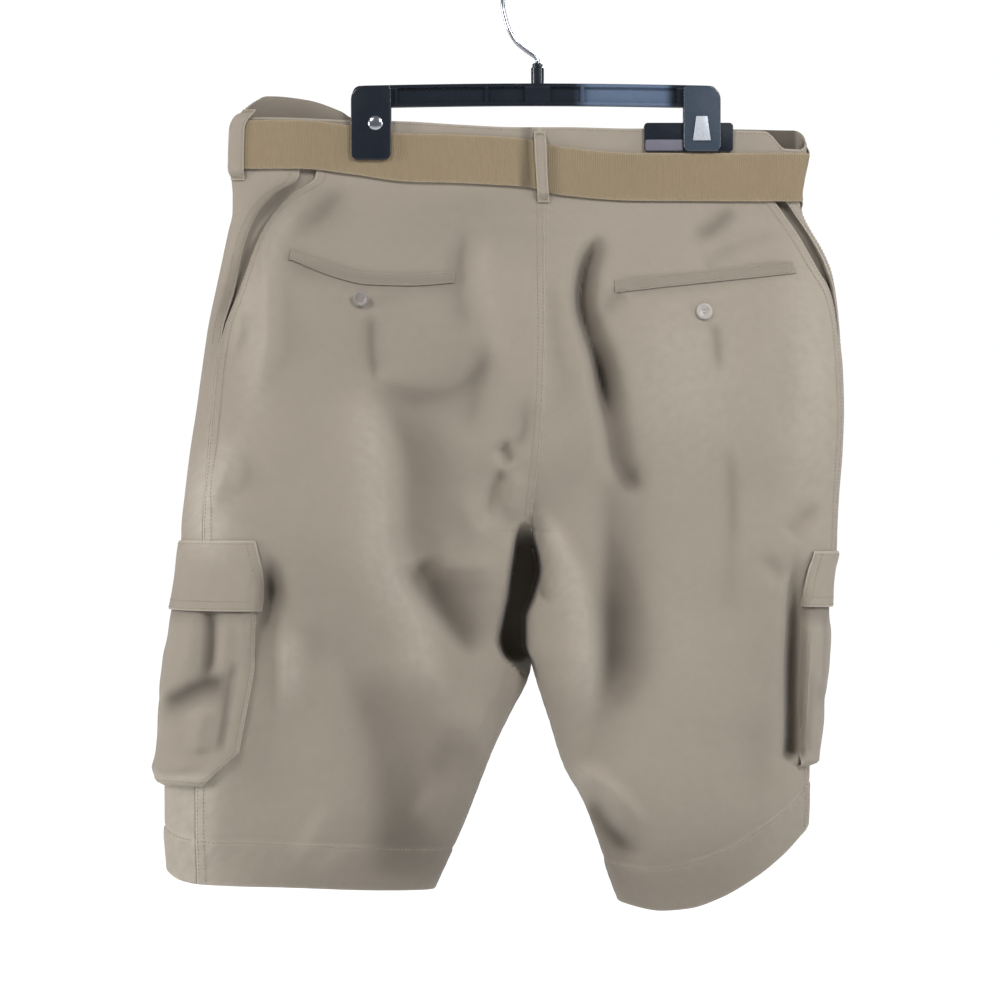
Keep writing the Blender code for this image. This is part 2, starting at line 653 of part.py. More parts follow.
def flat_outline(name, points, half_thick, bevel, finish, stand):
    """A filled 2D outline given thickness; stand places its plane."""
    curve = bpy.data.curves.new(name, "CURVE")
    curve.dimensions = "2D"
    curve.fill_mode = "BOTH"
    curve.extrude = (half_thick - bevel) * MM
    curve.bevel_depth = bevel * MM
    curve.bevel_resolution = 1
    curve.offset = -bevel * MM
    spline = curve.splines.new("POLY")
    spline.points.add(len(points) - 1)
    for point, (x, y) in zip(spline.points, points):
        point.co = (x * MM, y * MM, 0, 1)
    spline.use_cyclic_u = True
    holder = bpy.data.objects.new(name + "_outline", curve)
    bpy.data.collections[COLLECTION].objects.link(holder)
    mesh = bpy.data.meshes.new_from_object(holder.evaluated_get(bpy.context.evaluated_depsgraph_get()))
    bpy.data.objects.remove(holder)
    bm = bmesh.new()
    bm.from_mesh(mesh)
    bmesh.ops.remove_doubles(bm, verts=bm.verts[:], dist=0.000001)
    bm.to_mesh(mesh)
    bm.free()
    mesh.materials.clear()
    part = new_object(name, mesh, finish)
    part.matrix_world = stand
    return part


def rounded(left, right, low, high, radius, steps=3):
    """A rectangle with round corners, anticlockwise."""
    corners = [(right - radius, high - radius, 0), (left + radius, high - radius, 90),
               (left + radius, low + radius, 180), (right - radius, low + radius, 270)]
    points = []
    for x, y, start in corners:
        for k in range(steps + 1):
            angle = math.radians(start + 90 * k / steps)
            points.append((x + radius * math.cos(angle), y + radius * math.sin(angle)))
    return points


UPRIGHT = Matrix.Rotation(math.pi / 2, 4, "X")                       # an outline in the XZ plane
SIDEWAYS = Matrix.Rotation(math.pi / 2, 4, "Z") @ UPRIGHT            # an outline in the YZ plane


def arched(x):
    """How much higher the bar lies here than at its ends."""
    return BAR_ARCH * np.cos(math.pi * (x - BAR_MIDDLE) / BAR_SPAN)


def hanger_bar():
    """The moulded bar with the stub that carries the hook."""
    foot = STUB_HALF + 6
    right = np.linspace(BAR_RIGHT - BAR_CORNER, foot, 7)
    left = np.linspace(-foot, BAR_LEFT + BAR_CORNER, 7)
    under = np.linspace(BAR_LEFT + 2, BAR_RIGHT - 2, 15)
    neck = float(arched(0.0)) - BAR_TOP
    points = [(BAR_RIGHT, 2 - BAR_BOTTOM), (BAR_RIGHT, -BAR_TOP - 6), (BAR_RIGHT - 2, -BAR_TOP - 2)]
    points += list(zip(right, arched(right) - BAR_TOP))
    points += [(STUB_HALF, neck), (STUB_HALF, -STUB_TOP - 2), (STUB_HALF - 2, -STUB_TOP)]
    points += [(2 - STUB_HALF, -STUB_TOP), (-STUB_HALF, -STUB_TOP - 2), (-STUB_HALF, neck)]
    points += list(zip(left, arched(left) - BAR_TOP))
    points += [(BAR_LEFT + 2, -BAR_TOP - 2), (BAR_LEFT, -BAR_TOP - 6), (BAR_LEFT, 2 - BAR_BOTTOM)]
    points += list(zip(under, arched(under) - BAR_BOTTOM))
    return flat_outline("hanger_bar", points, BAR_THICK / 2, 1.0, PLASTIC, UPRIGHT)


def hanger_hook():
    """The wire hook: a lean out of the stub, then round over the rail."""
    centre = HOOK_WIRE - HOOK_RADIUS
    lean = [(0.0, SEAM_GAP - STUB_TOP), (-0.5, -72.5), (-4.5, -69.0), (-17.0, -59.5), (-24.5, -46.0)]
    angles = np.radians(np.linspace(192, -24, 25))
    turn = zip(HOOK_RADIUS * np.cos(angles), centre + HOOK_RADIUS * np.sin(angles))
    curve = bpy.data.curves.new("hanger_hook", "CURVE")
    curve.dimensions = "3D"
    curve.bevel_depth = HOOK_WIRE * MM
    curve.bevel_resolution = 2
    curve.use_fill_caps = True
    spline = curve.splines.new("POLY")
    points = lean + list(turn)
    spline.points.add(len(points) - 1)
    for point, (x, z) in zip(spline.points, points):
        point.co = (x * MM, 0, z * MM, 1)
    return new_object("hanger_hook", curve, STEEL)


def clip(side):
    """A clip: two jaws joined by a web under the bar."""
    (left, right), low = CLIPS[side]["edges"], CLIPS[side]["low"]
    inner, outer = JAW_INSIDE, JAW_INSIDE + JAW_THICK
    high, web_top, web_low = BAR_TOP + 1, BAR_BOTTOM + SEAM_GAP, BAR_BOTTOM + WEB_THICK
    outline = [
        (inner, -high), (inner, -web_top), (-inner, -web_top), (-inner, -high),
        (-outer, -high - 1), (-outer, 1 - low), (-inner - 1, -low), (-inner, 1 - low),
        (-inner, -web_low), (inner, -web_low),
        (inner, 1 - low), (inner + 1, -low), (outer, 1 - low), (outer, -high - 1),
    ]
    stand = Matrix.Translation(((left + right) / 2 * MM, 0, 0)) @ SIDEWAYS
    return flat_outline(f"clip_{side}", outline, (right - left) / 2, 0.0, PLASTIC, stand)


def rivet(side, face):
    """The round head of the clip's pin."""
    left, right = CLIPS[side]["edges"]
    away = -1 if face == "back" else 1
    face_y = away * (JAW_INSIDE + JAW_THICK + SEAM_GAP)
    point = ((left + right) / 2, face_y, -BAR_BOTTOM - RIVET_DROP)
    profile = [(0, 1.6), (2.6, 1.5), (4.2, 0.9), (5.0, 0.0), (0, 0)]
    return turned(f"clip_rivet_{side}_{face}", profile, point, (0, away, 0), STEEL, 16)


def clip_pad(face):
    """The wide flat pad under the right clip's jaw."""
    left, right = RIGHT_PAD["edges"]
    away = -1 if face == "back" else 1
    outline = rounded(left, right, -RIGHT_PAD["low"], -RIGHT_PAD["high"], 3.0)
    middle = HALF_PINCH + BAND_RISE + SEAM_GAP + PAD_THICK / 2
    stand = Matrix.Translation((0, away * middle * MM, 0)) @ UPRIGHT
    return flat_outline(f"clip_pad_{face}", outline, PAD_THICK / 2, 0.0, PLASTIC, stand)


def buckle():
    """A flat plate buckle folded over both edges of the belt, at the centre front."""
    front = ring(1.0, 160.0, 0.0)
    rise = CLOSURE_RISE + BELT_INSIDE + 2 * BELT_WALL + 2 * SEAM_GAP
    face_y = front[1] + rise
    back_y = front[1] + CLOSURE_RISE + BELT_INSIDE + 0.5
    top = float(along(BELT_TOP, 1, 0.0)) - BUCKLE_MARGIN
    low = top + BELT_WIDTH + 2 * BUCKLE_MARGIN
    thick = 1.4
    outline = [
        (back_y, -top), (face_y + thick, -top), (face_y + thick, -low), (back_y, -low),
        (back_y, thick - low), (face_y, thick - low), (face_y, -top - thick), (back_y, -top - thick),
    ]
    stand = Matrix.Translation((front[0] * MM, 0, 0)) @ SIDEWAYS
    return flat_outline("belt_buckle", outline[::-1], 21.0, 0.0, BRASS, stand)


def belt_tip():
    """The metal cap over the outside of the belt's free end."""
    turn = 1 - TAIL_LENGTH + np.array([0.0, TIP_SHARE])[:, None]
    drop = belt_edges(turn) + BELT_WIDTH * np.linspace(0.0, 1, 4)[None, :]
    rise = belt_rise(turn) + 2 * (BELT_WALL + SEAM_GAP)
    turn, drop, rise = np.broadcast_arrays(turn, drop, rise)
    return wall("belt_tip", ring(turn, drop, rise + 0.8), ring(turn, drop, rise), BRASS)


# ---------------------------------------------------------------- the whole

def clear_scene():
    for old in list(bpy.data.objects):
        bpy.data.objects.remove(old)


def main():
    clear_scene()
    collection = bpy.data.collections.new(COLLECTION)
    bpy.context.scene.collection.children.link(collection)
    for side in SIDES:
        panel(side, "back")
        panel(side, "front")
        slant_facing(side)
        waistband(side)
        welt(side)
        spot = WELTS[side]["button"]
        button(f"welt_button_{side}", side, place(side, *spot), spot[1], 0.0, BUTTON_RADIUS, BUTTON_THICK)
        cargo_pocket(side)
        cargo_flap(side)
        clip(side)
        for face in ("back", "front"):
            rivet(side, face)
    belt()
    for name, turn in LOOPS.items():
        belt_loop(f"belt_loop_{name}", turn)
    button("waist_button", "left", 0.988, 150.0, BAND_RISE, 7.5, 2.3)
    fly_placket()
    buckle()
    belt_tip()
    hanger_bar()
    hanger_hook()
    clip_pad("back")
    clip_pad("front")


main()
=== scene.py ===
"""Looks of the cargo shorts: cloth shells with their folds and sewing, web belt and clip hanger.

Sizes are in millimetres unless a name says otherwise; "drop" is the distance below the hook's
inside top. Each half of the shorts is one surface, cloth(side, t, drop): t runs round the half
from the centre back (0) by the outer side (0.5) to the centre front (1).
"""
import math

import bmesh
import bpy
import numpy as np
from mathutils import Matrix, Vector


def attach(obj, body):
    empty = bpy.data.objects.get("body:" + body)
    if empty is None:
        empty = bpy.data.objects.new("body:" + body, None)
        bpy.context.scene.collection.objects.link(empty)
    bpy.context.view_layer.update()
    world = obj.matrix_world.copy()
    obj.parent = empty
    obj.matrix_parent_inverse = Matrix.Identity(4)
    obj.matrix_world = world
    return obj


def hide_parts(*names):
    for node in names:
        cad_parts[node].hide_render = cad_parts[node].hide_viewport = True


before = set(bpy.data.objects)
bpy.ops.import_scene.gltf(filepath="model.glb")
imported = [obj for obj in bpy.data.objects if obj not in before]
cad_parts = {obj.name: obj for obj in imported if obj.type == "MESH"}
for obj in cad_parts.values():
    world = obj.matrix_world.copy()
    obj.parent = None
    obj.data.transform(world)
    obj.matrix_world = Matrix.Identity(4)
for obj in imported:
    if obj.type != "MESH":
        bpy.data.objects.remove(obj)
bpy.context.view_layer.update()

MM = 0.001

# ---------------------------------------------------------------- sizes

CLOTH_WALL = 1.2
BAND_RISE = 0.4
BAND_WALL = 2.0
SEAM_GAP = 0.3
MEETING_GAP = 0.05
LAY_GAP = 0.35

PANEL_TOP = 171
RISE_TURN = 358
RISE_ROUND = 0.57
CROTCH = 462
THIGH_TURN = 330
THIGH_FORMED = 540
MOUTH_END = 305
FLY_END = 340
HEM_DEPTH = 37.0
HEM_FULLNESS = 0.7

BELT_WIDTH = 40.0
BELT_WALL = 2.2
BELT_INSIDE = BAND_RISE + 2 * SEAM_GAP
LOOP_WIDTH = 11.0
LOOP_REACH = 9.0
CLOSURE_RISE = 2.8
TAIL_LENGTH = 0.13

BAR_LEFT, BAR_RIGHT = -153.0, 149.0
BAR_TOP, BAR_BOTTOM = 95.0, 113.0
BAR_SPAN, BAR_MIDDLE = BAR_RIGHT - BAR_LEFT, (BAR_LEFT + BAR_RIGHT) / 2
BAR_ARCH = 2.0
BAR_THICK = 10.0
BAR_CORNER = 7.0
STUB_HALF = 5.3
STUB_TOP = 76.0
HOOK_RADIUS = 28.7
HOOK_WIRE = 1.75
HOOK_END = 8.0
JAW_INSIDE = 5.3
JAW_THICK = 3.4
WEB_THICK = 6.0
RIVET_DROP = 13.0
PAD_THICK = 2.4
HALF_PINCH = SEAM_GAP + BAND_WALL - BAND_RISE

# Outlines seen from the back: drop, outer edge, side seam, inner edge
LEFT_OUTLINE = [
    (105, -235, -178, 2),
    (117, -244, -178, 2),
    (131, -252, -179, 2),
    (171, -253, -184, 4),
    (185, -252, -204, 5),
    (199, -252, -218, 6),
    (215, -255, -227, 6),
    (232, -258, -234, 6),
    (265, -264.5, -245, 6),
    (298, -271, -257, 6),
    (330, -275.6, -263, 5),
    (363, -280, -266, 4),
    (396, -285, -269, 2),
    (429, -289, -271, -2),
    (462, -292, -273, -5),
    (478, -292, -273, -2),
    (494, -292, -273, 0),
    (516, -293, -273, -5.5),
    (535, -295, -273, -12),
    (556, -296, -274, -11.5),
    (573, -298, -275, -5),
    (588, -300, -276, -9),
    (609, -302, -277, -20),
    (642, -305, -278, -36),
    (675, -306, -279, -49),
    (708, -306, -279, -62),
    (740, -304, -278, -77),
    (780, -303, -278, -95),
]
RIGHT_OUTLINE = [
    (105, 221, 198, 2),
    (131, 222, 198, 2),
    (148, 222, 198, 3),
    (171, 218, 190, 4),
    (185, 216, 193, 5),
    (199, 218.5, 202, 6),
    (215, 226, 213, 6),
    (232, 234.5, 223, 6),
    (248, 241.5, 232, 6),
    (265, 245.5, 242, 6),
    (298, 250, 248.5, 6),
    (330, 253.5, 251, 5),
    (363, 254.5, 252, 4),
    (396, 253.5, 251, 2),
    (429, 251, 249, -2),
    (462, 249, 247, -5),
    (478, 248.5, 246.5, -2),
    (494, 243, 241, 0),
    (516, 238.5, 236.5, -5.5),
    (535, 236, 234, -12),
    (556, 235, 233, -11.5),
    (573, 234, 232, -5),
    (588, 233, 231, -0.5),
    (617, 231, 229, 9),
    (655, 226.5, 224.5, 21),
    (686, 226, 224, 38),
    (718, 224.5, 222.5, 50),
    (749, 223, 221, 60),
    (790, 221, 219, 76),
]
# How deep the body is, from its mid plane: drop, towards the back, towards the front
DEPTH = [
    (105, 13, 13),
    (200, 13, 13),
    (225, 25, 19),
    (265, 38, 27),
    (330, 47, 32),
    (396, 50, 36),
    (462, 47, 40),
    (530, 44, 42),
    (620, 42, 42),
    (700, 41, 41),
    (790, 35, 38),
]
# Where the mid plane runs: drop, y at the outer edge, y at the inner edge
LEFT_LEAN = [(105, 0, 0), (175, 0, 0), (300, -20, 0), (450, -24, 0), (570, -24, 9), (790, -22, 8)]
RIGHT_LEAN = [(105, 0, 0), (175, 0, 0), (300, 9, 0), (450, 16, 0), (570, 18, -8), (790, 20, -6)]
# How full the section is at its edges (1 is an ellipse, less is blunter): drop, power
BLUNT = [(200, 0.55), (280, 0.78), (420, 0.78), (480, 0.55), (580, 0.55), (650, 0.70), (790, 0.72)]
# Edges that run round the body: x, drop
LEFT_HEM = [(-320, 728), (-304, 740), (-292, 747), (-276, 750), (-195, 753), (-138, 756), (-70, 759)]
RIGHT_HEM = [
    (55, 766), (92, 773), (118, 771), (146, 763), (178, 747), (202, 729.5), (219, 712), (232, 698),
]
BAND_TOP_BACK = [
    (-256, 121), (-195, 122), (-158, 123), (-113, 124), (-62, 128), (-15, 130), (84, 130), (188, 132.5),
    (193, 136), (204, 147), (222, 148),
]
BAND_TOP_FRONT = [
    (-256, 103), (-232, 102.5), (-203, 105.5), (-167, 115.5), (-155, 121), (-113, 125), (-15, 130),
    (84, 130), (222, 131),
]
BAND_BOTTOM = [(-256, 158), (-195, 162), (-153, 167), (-113, 170), (222, 171)]
BELT_TOP = [
    (-256, 124), (-195, 124), (-154, 128), (-113, 134), (-72, 136), (-15, 139), (18, 146), (60, 149.8),
    (84, 150.4), (222, 150.6),
]
SIDES = {
    "left": dict(outline=LEFT_OUTLINE, lean=LEFT_LEAN, hem=LEFT_HEM, turn=1.0),
    "right": dict(outline=RIGHT_OUTLINE, lean=RIGHT_LEAN, hem=RIGHT_HEM, turn=-1.0),
}
# How far the slant pocket's mouth stands off the side seam: drop, left, right
MOUTH_GAP = [
    (105, 13, 9), (176, 13, 9), (205, 11, 9), (236, 8, 8), (250, 6, 6), (268, 3.5, 1.5), (305, 0, 0),
]
MOUTH_FLARE = {"left": 1.2, "right": 2.5}
FACING_RECESS = {"left": 1.5, "right": 4.0}
# Painted shade on the slant pocket facings, deep in the mouth
FACING_SHADE = {"left": 0.20, "right": 0.62}
FACING_TUCK = 0.03
ALLOWANCE_SHARE = {"left": 0.014, "right": 0.032}
ALLOWANCE_DEPTH = 2.9
SEAM_LOW = 735.0

CLIPS = {
    "left": dict(edges=(-154.0, -121.0), low=156.5, held=(-158.0, -117.0), pin=-133.7,
                 corners=(3, 11, 6, 6)),
    "right": dict(edges=(120.5, 151.0), low=149.4, held=(78.0, 168.0), pin=135.4,
                  corners=(11, 3, 5, 5)),
}
LEVER = dict(top=120.5, low=140.6, half_top=4.6, half_low=7.3, thick=1.6)
PAD_LIP = dict(edges=(89.0, 120.0), high=139.5, low=148.6, thick=0.9)
RIGHT_PAD = dict(edges=(88.0, 161.5), high=125.5, low=149.4)
PINCH_SPREAD = 56.0
PINCH_FADE = 120.0

LOOPS = {
    "centre_back": 0.0,
    "side_left": 0.44,
    "side_right": -0.56,
    "front_left": 0.90,
    "front_right": -0.90,
}
WELTS = {
    "left": dict(line=[(-203, 236), (-163, 251), (-138, 256.5), (-103, 257.5), (-68, 255)],
                 button=(-143.5, 274), lean=(-0.25, 0.1, -0.42), finish="shaded_copy"),
    "right": dict(line=[(63, 262.5), (110, 257), (160, 251.5), (211, 245.5)],
                  button=(136, 283), lean=(0, 0, 0), finish="pale"),
}
WELT_HEIGHT = 10.0
CARGO = {
    "left": dict(rear=0.340, front=0.665, flap_top=470, flap_low=527, top=484, low=670,
                 rear_stand=0.0, corner=0.13),
    "right": dict(rear=0.405, front=0.74, flap_top=479, flap_low=524, top=492, low=657,
                  rear_stand=0.85, corner=0.05),
}
CARGO_STAND = 6.2
POCKET_WIDTH = 160.0
FLAP_LOW_STAND, FLAP_STAND = 1.9, 6.3
FLAP_MARGIN = 0.006
FLY_SHARE = 0.055

# Folds of the cloth, by face: points of the line (x, drop), width on the left and right hand of
# someone walking along it, height outwards, and the shares of its length it fades over
FOLDS = {
    "back": [
        # the long dark fold over the right seat, with its hooked end
        ([(51, 212), (46, 228), (38, 247), (34.5, 275), (41, 301), (49, 325), (54, 354), (58, 384)], 10,
         6, -13, (0.25, 0.3)),
        ([(42, 305), (50, 326), (56, 354), (61, 384), (66, 406), (76, 421), (95, 428)], 12, 9, -9,
         (0.35, 0.2)),
        ([(27, 214), (27, 246), (26, 280), (31, 312), (39, 350), (45, 392), (50, 420)], 8, 15, 3.2,
         (0.3, 0.3)),
        ([(72, 266), (61, 276), (52, 287)], 9, 7, -2.5, (0.3, 0.4)),
        # down the inner thigh of the right leg
        ([(58, 396), (60, 440), (60, 480), (60, 511), (60, 540), (60, 565), (57, 590), (50, 612),
         (38, 640)], 27, 14, -11, (0.4, 0.35)),
        ([(-4, 438), (12, 468), (27, 498), (37, 530), (40, 560), (38, 594), (30, 626)], 8, 20, 6.5,
         (0.25, 0.3)),
        ([(-3, 500), (3, 512), (11, 524)], 4, 5, -4, (0.3, 0.4)),
        ([(24, 658), (48, 664), (74, 688), (90, 712)], 8, 10, 5, (0.3, 0.4)),
        ([(40, 676), (56, 702), (72, 720), (92, 736)], 8, 12, -7, (0.25, 0.4)),
        # the rest of the right leg and seat
        ([(118, 226), (131, 219), (145, 212), (157, 202), (168, 192)], 7, 7, -5, (0.35, 0.4)),
        ([(130, 247), (146, 238), (176, 231)], 7, 9, -3, (0.3, 0.4)),
        ([(150, 226), (172, 216), (190, 208)], 7, 8, 2.4, (0.3, 0.4)),
        ([(142, 288), (144, 312), (146, 342)], 7, 7, -3, (0.3, 0.4)),
        ([(152, 384), (155, 420), (157, 455), (156, 500)], 8, 8, -2.6, (0.3, 0.35)),
        ([(204, 470), (215, 456), (230, 438)], 9, 9, -3.5, (0.3, 0.4)),
        ([(176, 482), (190, 492), (204, 506)], 8, 9, -3, (0.5, 0.3)),
        ([(196, 286), (200, 340), (196, 400)], 14, 16, -2, (0.4, 0.4)),
        # where the cargo pockets draw the leg in beside them
        ([(210, 470), (210, 500), (209, 540), (208, 590), (208, 625), (207, 656)], 7, 5.5, -15,
         (0.55, 0.08)),
        ([(-219, 478), (-218, 500), (-218, 518), (-224, 545), (-232, 582)], 9, 9, -11, (0.4, 0.6)),
        ([(168, 600), (176, 650), (170, 700)], 20, 22, -3, (0.4, 0.4)),
        # the hollow beside the left pocket mouth, and the drag lines from the left clip
        ([(-186, 172), (-206, 184), (-224, 205), (-234, 226), (-246, 257), (-257, 288), (-263, 320)], 8,
         8, -6, (0.1, 0.3)),
        ([(-176, 180), (-204, 202), (-222, 224), (-221, 255), (-220, 299), (-225, 335), (-235, 372)], 9,
         9, 5, (0.2, 0.3)),
        ([(-152, 174), (-170, 192), (-189, 206), (-214, 218)], 10, 9, -4, (0.4, 0.5)),
        ([(-242, 274), (-244, 300), (-250, 322)], 6, 6, 2.5, (0.4, 0.4)),
        ([(-243, 388), (-252, 414), (-266, 440)], 8, 10, 3, (0.4, 0.4)),
        ([(-250, 392), (-258, 424), (-270, 452)], 9, 10, 4, (0.4, 0.4)),
        # the bag of the left welt pocket showing through
        ([(-137, 282), (-137.5, 318), (-132, 350)], 9, 5, -3, (0.25, 0.3)),
        ([(-134, 346), (-108, 357), (-80, 354), (-56, 338), (-40, 306), (-36, 276)], 16, 11, -3.4,
         (0.3, 0.4)),
        ([(-212, 249), (-160, 256), (-110, 257), (-64, 254)], 7, 10, -2.4, (0.15, 0.15)),
        ([(62, 264), (110, 260), (160, 253), (214, 246)], 7, 11, -2.4, (0.15, 0.15)),
        ([(-54, 200), (-62, 228), (-64, 256), (-62, 300)], 10, 8, -3.4, (0.35, 0.4)),
        ([(-38, 306), (-50, 352), (-56, 398)], 12, 16, -3, (0.35, 0.35)),
        ([(-8, 212), (-7, 290), (-6, 340), (-9, 392)], 10, 28, 5, (0.35, 0.35)),
        # the pucker over the crotch
        ([(-31, 390), (-27, 398), (-21, 410)], 6, 7, -5, (0.3, 0.3)),
        ([(-27, 410), (-35, 426), (-41, 446), (-44, 466)], 6, 5, -4, (0.2, 0.4)),
        ([(-20, 400), (-12, 380), (-8, 352)], 7, 7, -2.4, (0.3, 0.4)),
        ([(-16, 412), (-20, 436), (-24, 458)], 8, 7, 3, (0.3, 0.4)),
        # the long crest down the left thigh, with the cloth stepping back beside it
        ([(-146, 330), (-138, 366), (-129, 407), (-127, 447), (-125, 480), (-113, 513), (-97, 545),
         (-86, 583), (-76, 612)], 9, 30, 7, (0.25, 0.2)),
        ([(-128, 340), (-115, 374), (-106, 408), (-104, 447), (-101, 478), (-86, 510), (-70, 543),
         (-58, 580)], 30, 8, -5.5, (0.3, 0.3)),
        ([(-106, 488), (-98, 506), (-83, 525), (-65, 546), (-50, 568)], 18, 8, -6.5, (0.15, 0.25)),
        ([(-94, 487), (-62, 492), (-30, 490)], 14, 8, 3, (0.3, 0.3)),
        ([(-90, 600), (-74, 618), (-54, 622), (-30, 606)], 24, 12, 3.2, (0.4, 0.4)),
        ([(-66, 424), (-52, 454), (-42, 480)], 14, 12, 3.5, (0.4, 0.4)),
        # the lower left leg
        ([(-206, 520), (-203, 560), (-204, 590), (-210, 640)], 10, 9, 5, (0.4, 0.45)),
        ([(-176, 520), (-164, 556), (-152, 586), (-139, 617), (-128, 650), (-123, 684), (-124, 716),
         (-130, 752)], 46, 16, -6, (0.45, 0.15)),
        ([(-84, 652), (-90, 690), (-84, 730)], 18, 14, 3, (0.4, 0.4)),
        ([(-160, 672), (-180, 706), (-204, 748)], 10, 10, 2.0, (0.4, 0.4)),
        ([(-80, 660), (-94, 684), (-114, 712)], 9, 10, 2.0, (0.4, 0.4)),
        ([(-146, 710), (-168, 730), (-196, 750)], 8, 9, 1.4, (0.4, 0.4)),
        ([(-256, 640), (-262, 680), (-262, 740)], 12, 12, 3, (0.3, 0.3)),
    ],
    "front": [
        ([(-20, 412), (-66, 438), (-124, 436), (-176, 410)], 14, 18, -8, (0.2, 0.4)),
        ([(22, 412), (68, 440), (118, 438), (158, 412)], 14, 18, -8, (0.2, 0.4)),
        ([(-26, 448), (-60, 488), (-92, 540)], 14, 20, 6, (0.3, 0.4)),
        ([(28, 448), (60, 494), (82, 556)], 14, 20, 6, (0.3, 0.4)),
        ([(-18, 456), (-40, 500), (-44, 566)], 12, 14, -9, (0.3, 0.4)),
        ([(14, 456), (36, 506), (42, 576)], 12, 14, -9, (0.3, 0.4)),
        ([(-10, 350), (-34, 388), (-70, 408)], 7, 8, -4, (0.2, 0.4)),
        ([(12, 356), (40, 390), (74, 404)], 7, 8, -4, (0.2, 0.4)),
        ([(-136, 186), (-120, 240), (-98, 318)], 15, 18, -5, (0.2, 0.4)),
        ([(-112, 188), (-92, 250), (-84, 330)], 12, 14, 4, (0.2, 0.4)),
        ([(122, 186), (108, 250), (86, 326)], 15, 18, -5, (0.2, 0.4)),
        ([(146, 190), (134, 262), (128, 340)], 14, 14, 4, (0.2, 0.4)),
        ([(-176, 220), (-156, 310), (-158, 410)], 14, 22, 4, (0.3, 0.4)),
        ([(-106, 586), (-128, 650), (-132, 740)], 20, 22, -6, (0.4, 0.2)),
        ([(-150, 470), (-146, 560), (-152, 660)], 22, 18, 5, (0.3, 0.4)),
        ([(94, 586), (104, 650), (92, 740)], 20, 22, -6, (0.4, 0.2)),
        ([(140, 470), (142, 560), (136, 650)], 18, 22, 5, (0.3, 0.4)),
        ([(-214, 560), (-202, 640), (-208, 730)], 16, 20, 4, (0.4, 0.3)),
        ([(178, 560), (176, 640), (166, 720)], 16, 20, 4, (0.4, 0.3)),
        ([(-60, 690), (-84, 708), (-112, 712)], 8, 9, -4, (0.2, 0.4)),
    ],
    # creases of a cargo pocket: distance from its rear edge and below its top, and the rest alike
    "pocket": [
        ([(27, 36), (26, 70), (28, 106)], 5, 5, -3.6, (0.1, 0.3)),
        ([(40, 42), (41, 70), (40, 98)], 7, 7, 2.0, (0.2, 0.3)),
        ([(12, 46), (13, 70), (12, 96)], 6, 6, 1.6, (0.2, 0.3)),
        ([(10, 98), (30, 104), (52, 114), (84, 118)], 6, 12, -3.6, (0.2, 0.3)),
        ([(24, 118), (25, 138), (24, 162)], 8, 7, 3.0, (0.3, 0.2)),
        ([(11, 40), (11, 100), (11, 160)], 3, 2, -2.0, (0.2, 0.1)),
        ([(10, 168), (50, 172), (110, 172), (150, 168)], 8, 5, 1.8, (0.2, 0.2)),
        ([(70, 60), (76, 100), (72, 150)], 12, 12, 1.6, (0.3, 0.3)),
        ([(110, 50), (104, 100), (112, 150)], 14, 10, -2.0, (0.3, 0.3)),
        ([(148, 50), (148, 100), (148, 160)], 2, 3, -2.0, (0.2, 0.1)),
    ],
}
# The dark hollow between the thighs: drop, x of its left and right sides
HOLLOW = [
    (454, -15, -12), (464, -18, -8), (476, -20, -3), (494, -23, 3), (516, -26, 0), (535, -30, -8),
    (552, -33, -7), (564, -29, -4), (578, -14, 0), (588, -9, -3),
]
HOLLOW_DEPTH = 24.0
HOLLOW_SHARE = 0.97
HOLLOW_SIDE = 4.0
PAINTED_SHADE_DEPTH = 30.0
FOLD_GAIN = 1.5
FOLD_SLOPE = 1.8
